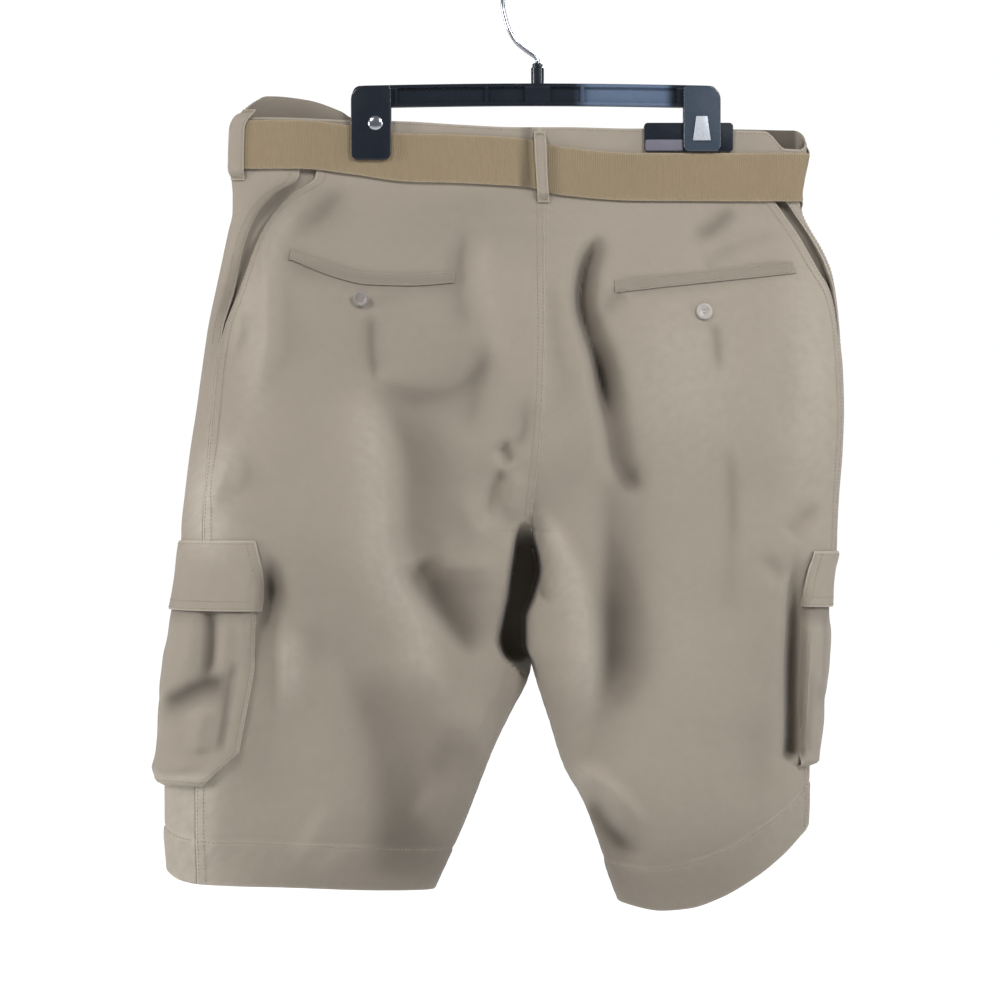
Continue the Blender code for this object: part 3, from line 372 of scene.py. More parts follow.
# Lines of painted highlight (above 0) and painted shade (below 0): as the folds, with that share
PAINTED_LIGHT_LINES = {
    "back": [
        ([(49, 226), (38, 247), (34.5, 275), (41, 301), (50, 325), (56, 354), (61, 388), (66, 410),
         (76, 423), (96, 429)], 9, 7, -0.19, (0.15, 0.08)),
        ([(45, 234), (36, 254), (35, 280), (43, 306)], 5, 6, -0.2, (0.3, 0.4)),
        ([(66, 410), (62, 440), (60, 480), (60, 520), (61, 555), (61, 580), (57, 604), (44, 640),
         (30, 664)], 22, 11, -0.27, (0.08, 0.25)),
        ([(60, 500), (60, 530), (61, 560), (60, 590)], 18, 10, -0.3, (0.35, 0.35)),
        ([(-4, 440), (13, 470), (28, 500), (37, 535), (39, 570), (37, 600), (27, 630)], 8, 15, 0.55,
         (0.15, 0.3)),
        ([(42, 679), (57, 705), (86, 727)], 8, 12, -0.32, (0.25, 0.35)),
        ([(24, 661), (49, 665), (75, 687)], 7, 7, 0.28, (0.2, 0.3)),
        ([(240, 434), (203, 464)], 6, 6, -0.18, (0.3, 0.3)),
        ([(126, 222), (145, 212.4), (157, 202.5), (167, 194)], 7, 7, -0.36, (0.3, 0.4)),
        ([(134, 241), (170, 226), (214, 212)], 6, 6, -0.14, (0.3, 0.3)),
        ([(143, 294), (145, 340)], 8, 8, -0.2, (0.25, 0.4)),
        ([(70, 262), (59, 277), (56, 294)], 8, 7, -0.2, (0.3, 0.4)),
        ([(153, 390), (156, 440), (157, 500), (158, 545)], 9, 8, -0.14, (0.3, 0.3)),
        ([(62, 262), (110, 261), (134, 258.5), (174, 249.5), (215, 243)], 7, 8, -0.26, (0.08, 0.12)),
        ([(-212, 239), (-169, 248.5), (-136, 257), (-64, 259)], 7, 9, -0.26, (0.12, 0.06)),
        ([(-134, 282), (-136, 306), (-131, 336)], 10, 8, -0.18, (0.3, 0.2)),
        ([(-137, 333), (-119, 344), (-93, 350), (-67, 347), (-47, 330), (-34, 304)], 5, 16, -0.24,
         (0.25, 0.3)),
        ([(-60, 214), (-66, 250), (-62, 280), (-54, 304)], 6, 9, -0.24, (0.3, 0.3)),
        ([(-43, 206), (-44, 250), (-38, 290), (-27, 340)], 9, 8, 0.16, (0.3, 0.3)),
        ([(-34, 304), (-48, 345), (-60, 388)], 9, 8, -0.16, (0.3, 0.4)),
        ([(-20, 402), (-12, 380), (-8, 352)], 6, 7, -0.18, (0.3, 0.4)),
        ([(-195, 166), (-215, 192), (-228, 212), (-235, 242), (-248, 271), (-258, 298), (-264, 334),
         (-268, 380)], 10, 13, -0.24, (0.05, 0.4)),
        ([(-178, 176), (-207, 209), (-218, 232), (-221.5, 258), (-221.5, 298), (-225, 334),
         (-232, 384)], 7, 7, 0.3, (0.2, 0.3)),
        ([(-160, 174), (-172, 192), (-189, 207), (-210, 217)], 7, 7, -0.2, (0.25, 0.4)),
        ([(-148, 342), (-139, 366), (-130, 407), (-128, 447), (-126, 480), (-114, 513), (-97, 545),
         (-87, 583), (-78, 614)], 9, 18, 0.48, (0.2, 0.2)),
        ([(-130, 340), (-117, 372), (-106, 408), (-104, 447), (-101, 476), (-88, 500)], 30, 7, -0.2,
         (0.25, 0.4)),
        ([(-105, 490), (-97, 507), (-82, 526), (-64, 547), (-50, 567)], 15, 6, -0.3, (0.2, 0.2)),
        ([(-92, 503), (-64, 508), (-34, 506)], 5, 14, -0.22, (0.2, 0.3)),
        ([(-88, 634), (-66, 643), (-42, 638)], 8, 30, -0.22, (0.3, 0.3)),
        ([(-157, 572), (-142, 610), (-130, 660), (-123, 712), (-126, 752)], 40, 18, -0.2, (0.25, 0.1)),
        ([(-204, 538), (-202, 570), (-205, 614)], 8, 8, 0.45, (0.3, 0.4)),
        ([(-183, 528), (-180, 550), (-177, 580)], 10, 12, -0.12, (0.4, 0.4)),
        ([(-221, 474), (-220, 504), (-222, 524), (-229, 560), (-234, 604)], 6, 7, -0.55, (0.25, 0.6)),
        ([(-284, 655), (-284, 765)], 25, 30, 0.8, (0.08, 0.05)),
        ([(-166, 680), (-182, 706), (-201, 741)], 8, 8, 0.14, (0.4, 0.4)),
        ([(-86, 670), (-94, 684), (-107, 702)], 8, 8, 0.16, (0.4, 0.4)),
        ([(-153, 717), (-170, 732), (-190, 748)], 8, 8, 0.12, (0.4, 0.4)),
        ([(120, 650), (160, 700), (200, 712)], 30, 30, -0.08, (0.3, 0.3)),
    ],
    "front": [
        ([(-150, 470), (-146, 560), (-152, 660)], 12, 16, 0.25, (0.3, 0.4)),
        ([(140, 470), (142, 560), (136, 650)], 12, 16, 0.25, (0.3, 0.4)),
        ([(-26, 448), (-60, 488), (-92, 540)], 10, 14, 0.25, (0.3, 0.4)),
        ([(28, 448), (60, 494), (82, 556)], 10, 14, 0.25, (0.3, 0.4)),
    ],
}
# Broad painted highlight (above 0) and painted shade (below 0): x, drop, half width, half height, that
# share
PAINTED_LIGHT_PATCHES = {
    "back": [
        (-92, 690, 48, 84, -0.3), (-90, 740, 54, 44, -0.2), (110, 752, 130, 50, -0.36),
        (58, 735, 20, 34, -0.24), (-160, 750, 84, 40, -0.27), (188, 600, 24, 90, -0.1),
        (-190, 196, 34, 30, -0.16), (-60, 206, 74, 34, -0.2), (-165, 300, 50, 60, -0.14),
        (-80, 300, 44, 60, -0.15), (-80, 425, 34, 60, -0.1), (20, 600, 22, 40, -0.16),
        (96, 262, 40, 40, -0.08), (-170, 520, 40, 60, -0.08), (-64, 548, 26, 40, -0.13),
        (-270, 436, 15, 32, 0.95), (-252, 404, 12, 24, 0.4), (-232, 345, 14, 44, 0.22),
        (-240, 268, 12, 50, 0.5), (-264, 468, 18, 20, 0.45), (226, 330, 26, 110, 0.48),
        (120, 330, 44, 74, 0.34), (110, 560, 34, 60, 0.12),
    ],
    "front": [
        (-90, 690, 52, 90, -0.22), (90, 700, 60, 70, -0.2),
    ],
}
# Unevenness of the whole cloth: size of a rise or dip, height
RUMPLES = [(74.0, 2.2), (31.0, 0.8), (12.5, 0.24)]


# ---------------------------------------------------------------- the cloth's surface

def along(table, column, place):
    """A smooth, never overshooting curve through one column of a table."""
    rows = np.asarray(table, dtype=float)
    x, y = rows[:, 0], rows[:, column]
    step = np.diff(x)
    slope = np.diff(y) / step
    tangent = np.zeros_like(y)
    tangent[0], tangent[-1] = slope[0], slope[-1]
    same_way = slope[:-1] * slope[1:] > 0
    mean = 2 * slope[:-1] * slope[1:] / np.where(same_way, slope[:-1] + slope[1:], 1.0)
    tangent[1:-1] = np.where(same_way, mean, 0.0)
    place = np.clip(np.asarray(place, dtype=float), x[0], x[-1])
    i = np.clip(np.searchsorted(x, place, side="right") - 1, 0, len(x) - 2)
    h = step[i]
    s = (place - x[i]) / h
    return ((1 + 2 * s) * (1 - s) ** 2 * y[i] + s * (1 - s) ** 2 * h * tangent[i]
            + s * s * (3 - 2 * s) * y[i + 1] + s * s * (s - 1) * h * tangent[i + 1])


def ease(low, high, value):
    """0 below low, 1 above high, smooth between."""
    s = np.clip((np.asarray(value, dtype=float) - low) / (high - low), 0.0, 1.0)
    return s * s * (3 - 2 * s)


def leg_share(t, drop):
    """0 where the two halves are one body, 1 on the legs; along the rise nearly a quarter round."""
    s = np.clip((np.asarray(drop, dtype=float) - RISE_TURN) / (CROTCH - RISE_TURN), 0.0, 1.0)
    at_rise = 1.0 - (1.0 - s * s) ** RISE_ROUND
    away = ease(0.0, 0.11, np.minimum(t, 1 - t))
    return at_rise * (1 - away) + ease(THIGH_TURN, THIGH_FORMED, drop) * away


def round_shape(t, drop):
    """How far out (0 to 1) and how far back (1) or forward (-1) a place on the round is."""
    leg = leg_share(t, drop)
    out = (1 - leg) * np.sin(math.pi * t) + leg * (1 - np.cos(2 * math.pi * t)) / 2
    deep = (1 - leg) * np.cos(math.pi * t) + leg * np.sin(2 * math.pi * t)
    return out, np.sign(deep) * np.abs(deep) ** along(BLUNT, 1, drop)


def held_flat(x, drop):
    """1 where a clip holds the cloth, falling to 0 around and below it."""
    share = np.zeros(np.broadcast(x, drop).shape)
    for clip in CLIPS.values():
        low, high = clip["held"]
        across = 1 - ease(0, PINCH_SPREAD, np.maximum(low - x, x - high))
        down = 1 - ease(clip["low"] + 4, clip["low"] + PINCH_FADE, drop)
        share = np.maximum(share, across * down)
    return share


def bent_line(points, steps=6):
    """Places along a smooth line through the given points."""
    p = np.array(points, dtype=float)
    p = np.vstack([2 * p[0] - p[1], p, 2 * p[-1] - p[-2]])
    s = np.linspace(0, 1, steps, endpoint=False)[:, None]
    pieces = []
    for a, b, c, d in zip(p, p[1:], p[2:], p[3:]):
        pieces.append(0.5 * (2 * b + (c - a) * s + (2 * a - 5 * b + 4 * c - d) * s ** 2
                             + (3 * b - a - 3 * c + d) * s ** 3))
    return np.vstack(pieces + [p[-2:-1]])


def fold_height(face, x, drop, table=FOLDS):
    """Sum of the folds of one face at a place, outwards."""
    shape = np.broadcast(x, drop).shape
    x, drop = np.broadcast_to(x, shape).ravel(), np.broadcast_to(drop, shape).ravel()
    total = np.zeros(x.size)
    for points, left_width, right_width, height, fade in table[face]:
        line = bent_line(points)
        reach = 2.6 * max(left_width, right_width)
        low, high = line.min(0) - reach, line.max(0) + reach
        near = (x > low[0]) & (x < high[0]) & (drop > low[1]) & (drop < high[1])
        near = np.nonzero(near)[0]
        if not near.size:
            continue
        px, pd = x[near], drop[near]
        best = np.full(near.size, 1e9)
        share, side = np.zeros(near.size), np.zeros(near.size)
        for i, (a, b) in enumerate(zip(line, line[1:])):
            way = b - a
            s = np.clip(((px - a[0]) * way[0] + (pd - a[1]) * way[1]) / (way @ way), 0, 1)
            ox, od = px - a[0] - s * way[0], pd - a[1] - s * way[1]
            gap = ox * ox + od * od
            closer = gap < best
            best = np.where(closer, gap, best)
            share = np.where(closer, (i + s) / (len(line) - 1), share)
            side = np.where(closer, way[0] * od - way[1] * ox, side)
        width = np.where(side > 0, right_width, left_width)
        taper = ease(0, fade[0], share) * ease(0, fade[1], 1 - share)
        total[near] += FOLD_GAIN * height * taper * np.exp(-(np.sqrt(best) / width) ** FOLD_SLOPE)
    return total.reshape(shape)


def rumple(x, drop, size, seed):
    """Unevenness between about -1 and 1, the same each time."""
    lattice = np.random.default_rng(seed).uniform(-1, 1, (96, 96))
    u, v = x / size + 48, drop / size + 2
    i, j = np.floor(u).astype(int) % 95, np.floor(v).astype(int) % 95
    fu, fv = u - np.floor(u), v - np.floor(v)
    fu, fv = fu * fu * (3 - 2 * fu), fv * fv * (3 - 2 * fv)
    low = lattice[i, j] * (1 - fu) + lattice[i + 1, j] * fu
    high = lattice[i, j + 1] * (1 - fu) + lattice[i + 1, j + 1] * fu
    return low * (1 - fv) + high * fv


def relief_height(face, x, drop):
    """Folds and unevenness of one face together."""
    total = fold_height(face, x, drop)
    for k, (size, height) in enumerate(RUMPLES):
        total = total + height * rumple(x, drop, size, 11 * k + (3 if face == "back" else 4))
    return total


def inner_edge(side, drop):
    """Where the half ends towards the middle."""
    half = SIDES[side]
    return along(half["outline"], 3, drop) - half["turn"] * MEETING_GAP / 2


def sunk_share(side, x, drop):
    """How far (0 to 1) the cloth is drawn into the hollow between the thighs."""
    from_left = x - along(HOLLOW, 1, drop)
    from_right = along(HOLLOW, 2, drop) - x + HOLLOW_SIDE
    share = HOLLOW_SHARE * ease(-HOLLOW_SIDE / 2, HOLLOW_SIDE, np.minimum(from_left, from_right))
    share = share * ease(HOLLOW[0][0], HOLLOW[2][0], drop)
    share = share * ease(-HOLLOW[-1][0], -HOLLOW[-3][0], -drop)
    if side == "right":
        share = share * (1 - ease(0.5, 5.0, x - inner_edge(side, drop)))
    return share


def painted_light_share(face, x, drop):
    """Painted highlight (above 0) and painted shade (below 0) at a place of the cloth."""
    share = fold_height(face, x, drop, PAINTED_LIGHT_LINES) / FOLD_GAIN
    for at_x, at_drop, half_width, half_height, amount in PAINTED_LIGHT_PATCHES[face]:
        away = ((x - at_x) / half_width) ** 2 + ((drop - at_drop) / half_height) ** 2
        share = share + amount * np.exp(-away)
    return share


def painted_shade_and_highlight(side, t, x, drop):
    """Painted shade (0 to 1) from folds, dark lines, patches and the hollow; and painted highlight."""
    deep, pale = [], []
    below_band = ease(PANEL_TOP - 4, PANEL_TOP + 16, drop)
    for face in ("back", "front"):
        share = painted_light_share(face, x, drop)
        # Painted shade grows with the depth of a fold, where shade falls.
        folded = np.clip(-fold_height(face, x, drop) / PAINTED_SHADE_DEPTH, 0, 1) ** 1.4
        deep.append(np.clip((folded - np.minimum(share, 0)) * below_band, 0, 1))
        pale.append(np.clip(share, 0, 1))
    # The hollow between the thighs gets painted shade as well.
    deep[0] = np.maximum(deep[0], sunk_share(side, x, drop))
    return np.where(t < 0.5, *deep), np.where(t < 0.5, *pale)


def cloth(side, t, drop, folded=1.0):
    """A point of the garment's outer surface; folded 0 leaves its folds out."""
    t, drop = np.broadcast_arrays(np.asarray(t, dtype=float), np.asarray(drop, dtype=float))
    half = SIDES[side]
    outer = along(half["outline"], 1, drop)
    inner = inner_edge(side, drop)
    out, deep = round_shape(t, drop)
    x = inner + (outer - inner) * out
    y_mid = along(half["lean"], 2, drop) * (1 - out) + along(half["lean"], 1, drop) * out
    held = held_flat(x, drop)
    sunk = sunk_share(side, x, drop)
    back = along(DEPTH, 1, drop) * deep * (1 - held) + HALF_PINCH * held
    front = along(DEPTH, 2, drop) * deep * (1 - held) - HALF_PINCH * held
    below_band = ease(PANEL_TOP - 4, PANEL_TOP + 26, drop)
    relief = folded * ease(0.0, 0.5, np.abs(deep)) * (1 - held) * below_band
    seam = SEAM_GAP / 2 * leg_share(t, drop) * (np.minimum(t, 1 - t) < 1e-6)
    y_back = -(back + relief_height("back", x, drop) * relief) * (1 - sunk) - seam
    y_front = -front * (1 - 0.6 * sunk) + relief_height("front", x, drop) * relief + seam
    y = np.where((deep > 0) | ((deep == 0) & (t < 0.25)), y_back, y_front) + HOLLOW_DEPTH * sunk
    return np.stack([x, y_mid + y, -drop], axis=-1)


def ring(turn, drop):
    """The same, all round the waist: turn is 0 at the centre back, -1 and 1 at the front."""
    turn, drop = np.broadcast_arrays(np.asarray(turn, dtype=float), np.asarray(drop, dtype=float))
    left, right = cloth("left", np.abs(turn), drop), cloth("right", np.abs(turn), drop)
    return np.where((turn > 0)[..., None], left, right)


def normals(grid, turn):
    """Unit normals of a grid of points, outwards where turn is its hand."""
    normal = np.cross(np.gradient(grid, axis=0), np.gradient(grid, axis=1)) * turn
    return normal / np.maximum(np.linalg.norm(normal, axis=-1, keepdims=True), 1e-9)


def place(side, x, drop):
    """The t at which the back face has this x."""
    samples = np.linspace(0, 0.5, 401)
    outer = along(SIDES[side]["outline"], 1, drop)
    inner = along(SIDES[side]["outline"], 3, drop)
    out, _ = round_shape(samples, np.full(samples.shape, float(drop)))
    return float(np.interp((x - inner) / (outer - inner), out, samples))


def seam_place(side, drop):
    """Side seam's t at each drop."""
    return np.array([place(side, along(SIDES[side]["outline"], 2, d), d) for d in np.ravel(drop)])


def band_edge(table_back, table_front, x, t):
    """An edge that runs at one height on the back and another on the front."""
    forward = ease(0.42, 0.6, t)
    return along(table_back, 1, x) * (1 - forward) + along(table_front, 1, x) * forward


def spans(grid):
    """Distances over a grid from its first column and from its first row."""
    across = np.zeros(grid.shape[:2])
    down = np.zeros(grid.shape[:2])
    across[1:] = np.cumsum(np.linalg.norm(np.diff(grid, axis=0), axis=-1), axis=0)
    down[:, 1:] = np.cumsum(np.linalg.norm(np.diff(grid, axis=1), axis=-1), axis=1)
    return across, down


def edged(count, first, last=None):
    """Shares from 0 to 1, with a few close together near both ends to round the edges."""
    last = first if last is None else last
    inside = np.linspace(first * 2.4, 1 - last * 2.4, count)
    return np.concatenate([[0, first * 0.35, first], inside, [1 - last, 1 - last * 0.35, 1]])


# ---------------------------------------------------------------- making pieces

def shown(piece, replaced=()):
    """Fasten a finished piece to the part's body."""
    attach(piece, "root")
    if replaced:
        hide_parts(*replaced)


def mesh_object(name, mesh, material, smooth_angle=50):
    """A smooth-shaded object from a mesh."""
    mesh.polygons.foreach_set("use_smooth", [True] * len(mesh.polygons))
    mesh.set_sharp_from_angle(angle=math.radians(smooth_angle))
    mesh.materials.clear()
    mesh.materials.append(material)
    piece = bpy.data.objects.new(name, mesh)
    bpy.context.scene.collection.objects.link(piece)
    return piece


def shell(name, outer, inner, turn, material, wear_and_highlight=0.0, painted_shade=0.0, painted_shade_inside=0.0):
    """A closed wall between two grids, with its cloth laid out in metres as its map."""
    columns, rows = outer.shape[:2]
    front = np.arange(columns * rows).reshape(columns, rows)
    back = front + columns * rows

    def quads(a, b, c, d):
        return np.stack([a, b, c, d], axis=-1).reshape(-1, 4)

    faces = np.concatenate([
        quads(front[:-1, :-1], front[1:, :-1], front[1:, 1:], front[:-1, 1:]),
        quads(back[:-1, :-1], back[:-1, 1:], back[1:, 1:], back[1:, :-1]),
        quads(front[0, :-1], front[0, 1:], back[0, 1:], back[0, :-1]),
        quads(front[-1, 1:], front[-1, :-1], back[-1, :-1], back[-1, 1:]),
        quads(front[1:, 0], front[:-1, 0], back[:-1, 0], back[1:, 0]),
        quads(front[:-1, -1], front[1:, -1], back[1:, -1], back[:-1, -1]),
    ])
    if turn < 0:
        faces = faces[:, ::-1]
    points = np.concatenate([outer.reshape(-1, 3), inner.reshape(-1, 3)]) * MM
    mesh = bpy.data.meshes.new(name)
    mesh.from_pydata(points.tolist(), [], faces.tolist())
    across, down = spans(outer)
    middle = across[columns // 2]
    lay = np.stack([(across - middle[None, :]) * MM, down * MM], axis=-1).reshape(-1, 2)
    lay = np.concatenate([lay, lay])
    layer = mesh.uv_layers.new(name="ClothLay")
    layer.data.foreach_set("uv", lay[faces.ravel()].ravel())
    # The second attribute is painted shade: it darkens the cloth in folds, recesses and on the inside,
    # where shade falls. The first pales it for rubbed edges and for painted highlight.
    for label, shares in (("wear_and_highlight", (wear_and_highlight, 0.0)), ("painted_shade", (painted_shade, painted_shade_inside))):
        amounts = [np.broadcast_to(share, (columns, rows)).ravel() for share in shares]
        values = mesh.attributes.new(label, "FLOAT", "POINT").data
        values.foreach_set("value", np.concatenate(amounts))
    piece = mesh_object(name, mesh, material)
    return piece


def rounded_edges(grid, size, sink):
    """How far a grid sinks towards its four edges, so that the edges look turned."""
    across, down = spans(grid)
    nearest = np.minimum(np.minimum(across, across[-1:] - across),
                         np.minimum(down, down[:, -1:] - down))
    return -sink * (1 - ease(0, size, nearest)), nearest


def parallel_line(grid, normal, edge, distance, start=0.0, stop=1.0):
    """Points and normals along a line on a grid, at a distance from one of its edges."""
    across, down = spans(grid)
    if edge in ("first_column", "last_column"):
        walk, points, ways = across.T, grid.transpose(1, 0, 2), normal.transpose(1, 0, 2)
    else:
        walk, points, ways = down, grid, normal
    if edge.startswith("last"):
        walk, points, ways = walk[:, -1:] - walk[:, ::-1], points[:, ::-1], ways[:, ::-1]
    count = len(walk)
    low, high = int(start * (count - 1)), int(math.ceil(stop * (count - 1))) + 1
    line, facing = [], []
    for k in range(low, high):
        line.append([np.interp(distance, walk[k], points[k, :, c]) for c in range(3)])
        facing.append([np.interp(distance, walk[k], ways[k, :, c]) for c in range(3)])
    return np.array(line), np.array(facing)


STITCH_PITCH = 3.2
STITCH_LENGTH = 2.3
STITCH_HALF = 0.32
STITCH_LIFT = 0.12
BAR_PITCH = 2.4
STITCHES = []


def sew(line, facing, pitch=STITCH_PITCH):
    """Lay stitches along a line of points."""
    step = np.linalg.norm(np.diff(line, axis=0), axis=1)
    travelled = np.concatenate([[0], np.cumsum(step)])
    places = np.arange(pitch, travelled[-1] - pitch / 2, pitch)
    for at in places:
        a, b, n = (
            np.array([np.interp(at + d, travelled, source[:, c]) for c in range(3)])
            for d, source in ((-STITCH_LENGTH / 2, line), (STITCH_LENGTH / 2, line), (0, facing)))
        STITCHES.append((a + n * STITCH_LIFT, b + n * STITCH_LIFT, n))


def lay_stitches(name):
    """Make every stitch laid so far into one piece."""
    points, faces = [], []
    for a, b, n in STITCHES:
        way = (b - a) / max(np.linalg.norm(b - a), 1e-9)
        side = np.cross(way, n)
        side /= max(np.linalg.norm(side), 1e-9)
        first = len(points)
        points.append(a - n * 0.15)
        for share, size in ((0.18, 0.8), (0.5, 1.0), (0.82, 0.8)):
            middle = a + (b - a) * share
            for angle in (0, 72, 144, 216, 288):
                c, s = math.cos(math.radians(angle)), math.sin(math.radians(angle))
                points.append(middle + (side * c + n * s * 0.8) * STITCH_HALF * size)
        points.append(b - n * 0.15)
        for k in range(5):
            m = (k + 1) % 5
            faces.append((first, first + 1 + k, first + 1 + m))
            for turn in (0, 5):
                low, high = first + 1 + turn, first + 6 + turn
                faces.append((low + k, high + k, high + m, low + m))
            faces.append((first + 16, first + 11 + m, first + 11 + k))
    mesh = bpy.data.meshes.new(name)
    mesh.from_pydata((np.array(points) * MM).tolist(), [], faces)
    STITCHES.clear()
    shown(mesh_object(name, mesh, THREAD, 180))


def stitched(name, outer, normal, *seams):
    """Stitch beside a grid's edges: each seam is its edges, its distances in, and its stretch."""
    for edges, gaps, *stretch in seams:
        for gap in gaps:
            for edge in edges:
                sew(*parallel_line(outer, normal, edge, gap, *stretch))
    lay_stitches(f"{name}_stitching")


# ---------------------------------------------------------------- finishes

DARK_FIBRE = (0.02, 0.015, 0.01, 1)
PAINTED_SHADE_COLOUR = (0.016, 0.011, 0.007, 1)
PAINTED_SHADE_STRENGTH = 0.68
TWILL_PITCH = 0.0011
WEB_PITCH = 0.0019
WEFT_PITCH = 0.0012


def new_group(name, inputs, outputs):
    """An empty shader group with named sockets."""
    group = bpy.data.node_groups.new(name, "ShaderNodeTree")
    for label, kind, value in inputs:
        made = group.interface.new_socket(label, in_out="INPUT", socket_type=kind)
        if value is not None:
            made.default_value = value
    for label, kind in outputs:
        group.interface.new_socket(label, in_out="OUTPUT", socket_type=kind)
    return group, group.nodes.new("NodeGroupInput"), group.nodes.new("NodeGroupOutput")


def feed(tree, socket, value):
    """Set a socket to a number or colour, or link another node's output to it."""
    if isinstance(value, (int, float, tuple)):
        socket.default_value = value
    else:
        tree.links.new(value, socket)


def maths(tree, operation, *values):
    """A math node fed by sockets or numbers; gives its output."""
    made = tree.nodes.new("ShaderNodeMath")
    made.operation = operation
    for socket, value in zip(made.inputs, values):
        feed(tree, socket, value)
    return made.outputs[0]


def mixed(tree, share, a, b):
    """A colour mix fed by sockets, colours or numbers; gives its output."""
    made = tree.nodes.new("ShaderNodeMix")
    made.data_type = "RGBA"
    for k, value in ((0, share), (6, a), (7, b)):
        feed(tree, made.inputs[k], value)
    return made.outputs[2]


def noise(tree, vector, scale, detail=2.0):
    """Noise over a vector; gives its value."""
    made = tree.nodes.new("ShaderNodeTexNoise")
    made.inputs["Scale"].default_value = scale
    made.inputs["Detail"].default_value = detail
    tree.links.new(vector, made.inputs["Vector"])
    return made.outputs["Fac"]


def twill_group():
    """Slanting ribs of a twill: height and a mask of the threads, from a map in metres."""
    group, given, result = new_group(
        "twill_ribs",
        [("Lay", "NodeSocketVector", None), ("Rib Pitch", "NodeSocketFloat", 0.001)],
        [("Height", "NodeSocketFloat"), ("Speckle", "NodeSocketFloat")])
    parts = group.nodes.new("ShaderNodeSeparateXYZ")
    group.links.new(given.outputs["Lay"], parts.inputs[0])
    wobble = noise(group, given.outputs["Lay"], 260.0, 1.0)
    slant = maths(group, "MULTIPLY_ADD", parts.outputs[1], 0.62, parts.outputs[0])
    slant = maths(group, "MULTIPLY_ADD", wobble, 0.0004, slant)
    turns = maths(group, "DIVIDE", slant, given.outputs["Rib Pitch"])
    rib = maths(group, "SINE", maths(group, "MULTIPLY", turns, 2 * math.pi))
    picks = maths(group, "DIVIDE", parts.outputs[1], given.outputs["Rib Pitch"])
    pick = maths(group, "SINE", maths(group, "MULTIPLY", picks, 4 * math.pi))
    height = maths(group, "MULTIPLY_ADD", pick, 0.25, rib)
    group.links.new(height, result.inputs["Height"])
    group.links.new(noise(group, given.outputs["Lay"], 900.0, 1.0), result.inputs["Speckle"])
    return group


def washed_and_painted_light_group():
    """Cloth colour: uneven dye, paler by rubbing and painted highlight, darker by painted shade."""
    group, given, result = new_group(
        "washed_colour_and_painted_light",
        [("Dye", "NodeSocketColor", (0.3, 0.3, 0.3, 1)),
         ("Paled", "NodeSocketColor", (0.5, 0.5, 0.5, 1)),
         ("Wear And Highlight", "NodeSocketFloat", 0.0), ("Painted Shade", "NodeSocketFloat", 0.0),
         ("Speckle", "NodeSocketFloat", 0.5), ("Lay", "NodeSocketVector", None)],
        [("Colour", "NodeSocketColor")])
    lay = given.outputs["Lay"]
    broad = noise(group, lay, 9.0, 3.0)
    fine = noise(group, lay, 120.0, 3.0)
    uneven = maths(group, "MULTIPLY_ADD", broad, 0.6, maths(group, "MULTIPLY", fine, 0.4))
    speckle = maths(group, "SUBTRACT", given.outputs["Speckle"], 0.5)
    uneven = maths(group, "MULTIPLY_ADD", speckle, 0.35, uneven)
    level = maths(group, "MULTIPLY_ADD", maths(group, "SUBTRACT", uneven, 0.5), 0.8, 0.5)
    darker = mixed(group, 0.16, given.outputs["Dye"], DARK_FIBRE)
    paler = mixed(group, 0.14, given.outputs["Dye"], given.outputs["Paled"])
    dyed = mixed(group, level, darker, paler)
    patchy = maths(group, "MULTIPLY_ADD", fine, 0.8, 0.3)
    paled = maths(group, "MULTIPLY", given.outputs["Wear And Highlight"], patchy)
    worn_and_highlit = mixed(group, paled, dyed, given.outputs["Paled"])
    # Painted shade: the colour darkens towards a deep brown by the painted shade share.
    painted_dark = mixed(group, PAINTED_SHADE_STRENGTH, worn_and_highlit, PAINTED_SHADE_COLOUR)
    deep = mixed(group, given.outputs["Painted Shade"], worn_and_highlit, painted_dark)
    group.links.new(deep, result.inputs["Colour"])
    return group


TWILL = twill_group()
WASHED_AND_PAINTED_LIGHT = washed_and_painted_light_group()


def principled(name, colour, roughness, **values):
    """A material with its shader and a bump node on the normal."""
    material = bpy.data.materials.new(name)
    material.use_nodes = True
    tree = material.node_tree
    shader = tree.nodes["Principled BSDF"]
    shader.inputs["Base Color"].default_value = (*colour, 1)
    shader.inputs["Roughness"].default_value = roughness
    for key, value in values.items():
        shader.inputs[key.replace("_", " ").title()].default_value = value
    bump = tree.nodes.new("ShaderNodeBump")
    tree.links.new(bump.outputs["Normal"], shader.inputs["Normal"])
    return material, tree, shader, bump


def washed_cloth(name, dye, paled, roughness, sheen, specular):
    """A cloth in its dye colour, paler by rubbing and painted highlight, darker by painted shade."""
    material, tree, shader, bump = principled(name, dye, roughness, sheen_weight=sheen,
                                              sheen_roughness=0.5)
    shader.inputs["Specular IOR Level"].default_value = specular
    lay = tree.nodes.new("ShaderNodeUVMap")
    lay.uv_map = "ClothLay"
    colour = tree.nodes.new("ShaderNodeGroup")
    colour.node_tree = WASHED_AND_PAINTED_LIGHT
    colour.inputs["Dye"].default_value = (*dye, 1)
    colour.inputs["Paled"].default_value = (*paled, 1)
    for label, socket in (("wear_and_highlight", "Wear And Highlight"), ("painted_shade", "Painted Shade")):
        share = tree.nodes.new("ShaderNodeAttribute")
        share.attribute_name = label
        tree.links.new(share.outputs["Fac"], colour.inputs[socket])
    tree.links.new(lay.outputs["UV"], colour.inputs["Lay"])
    tree.links.new(colour.outputs["Colour"], shader.inputs["Base Color"])
    return material, tree, bump, lay.outputs["UV"], colour.inputs["Speckle"]


def raise_by(tree, bump, height, strength, depth):
    """Let a height stand out of the surface."""
    bump.inputs["Strength"].default_value = strength
    bump.inputs["Distance"].default_value = depth
    tree.links.new(height, bump.inputs["Height"])


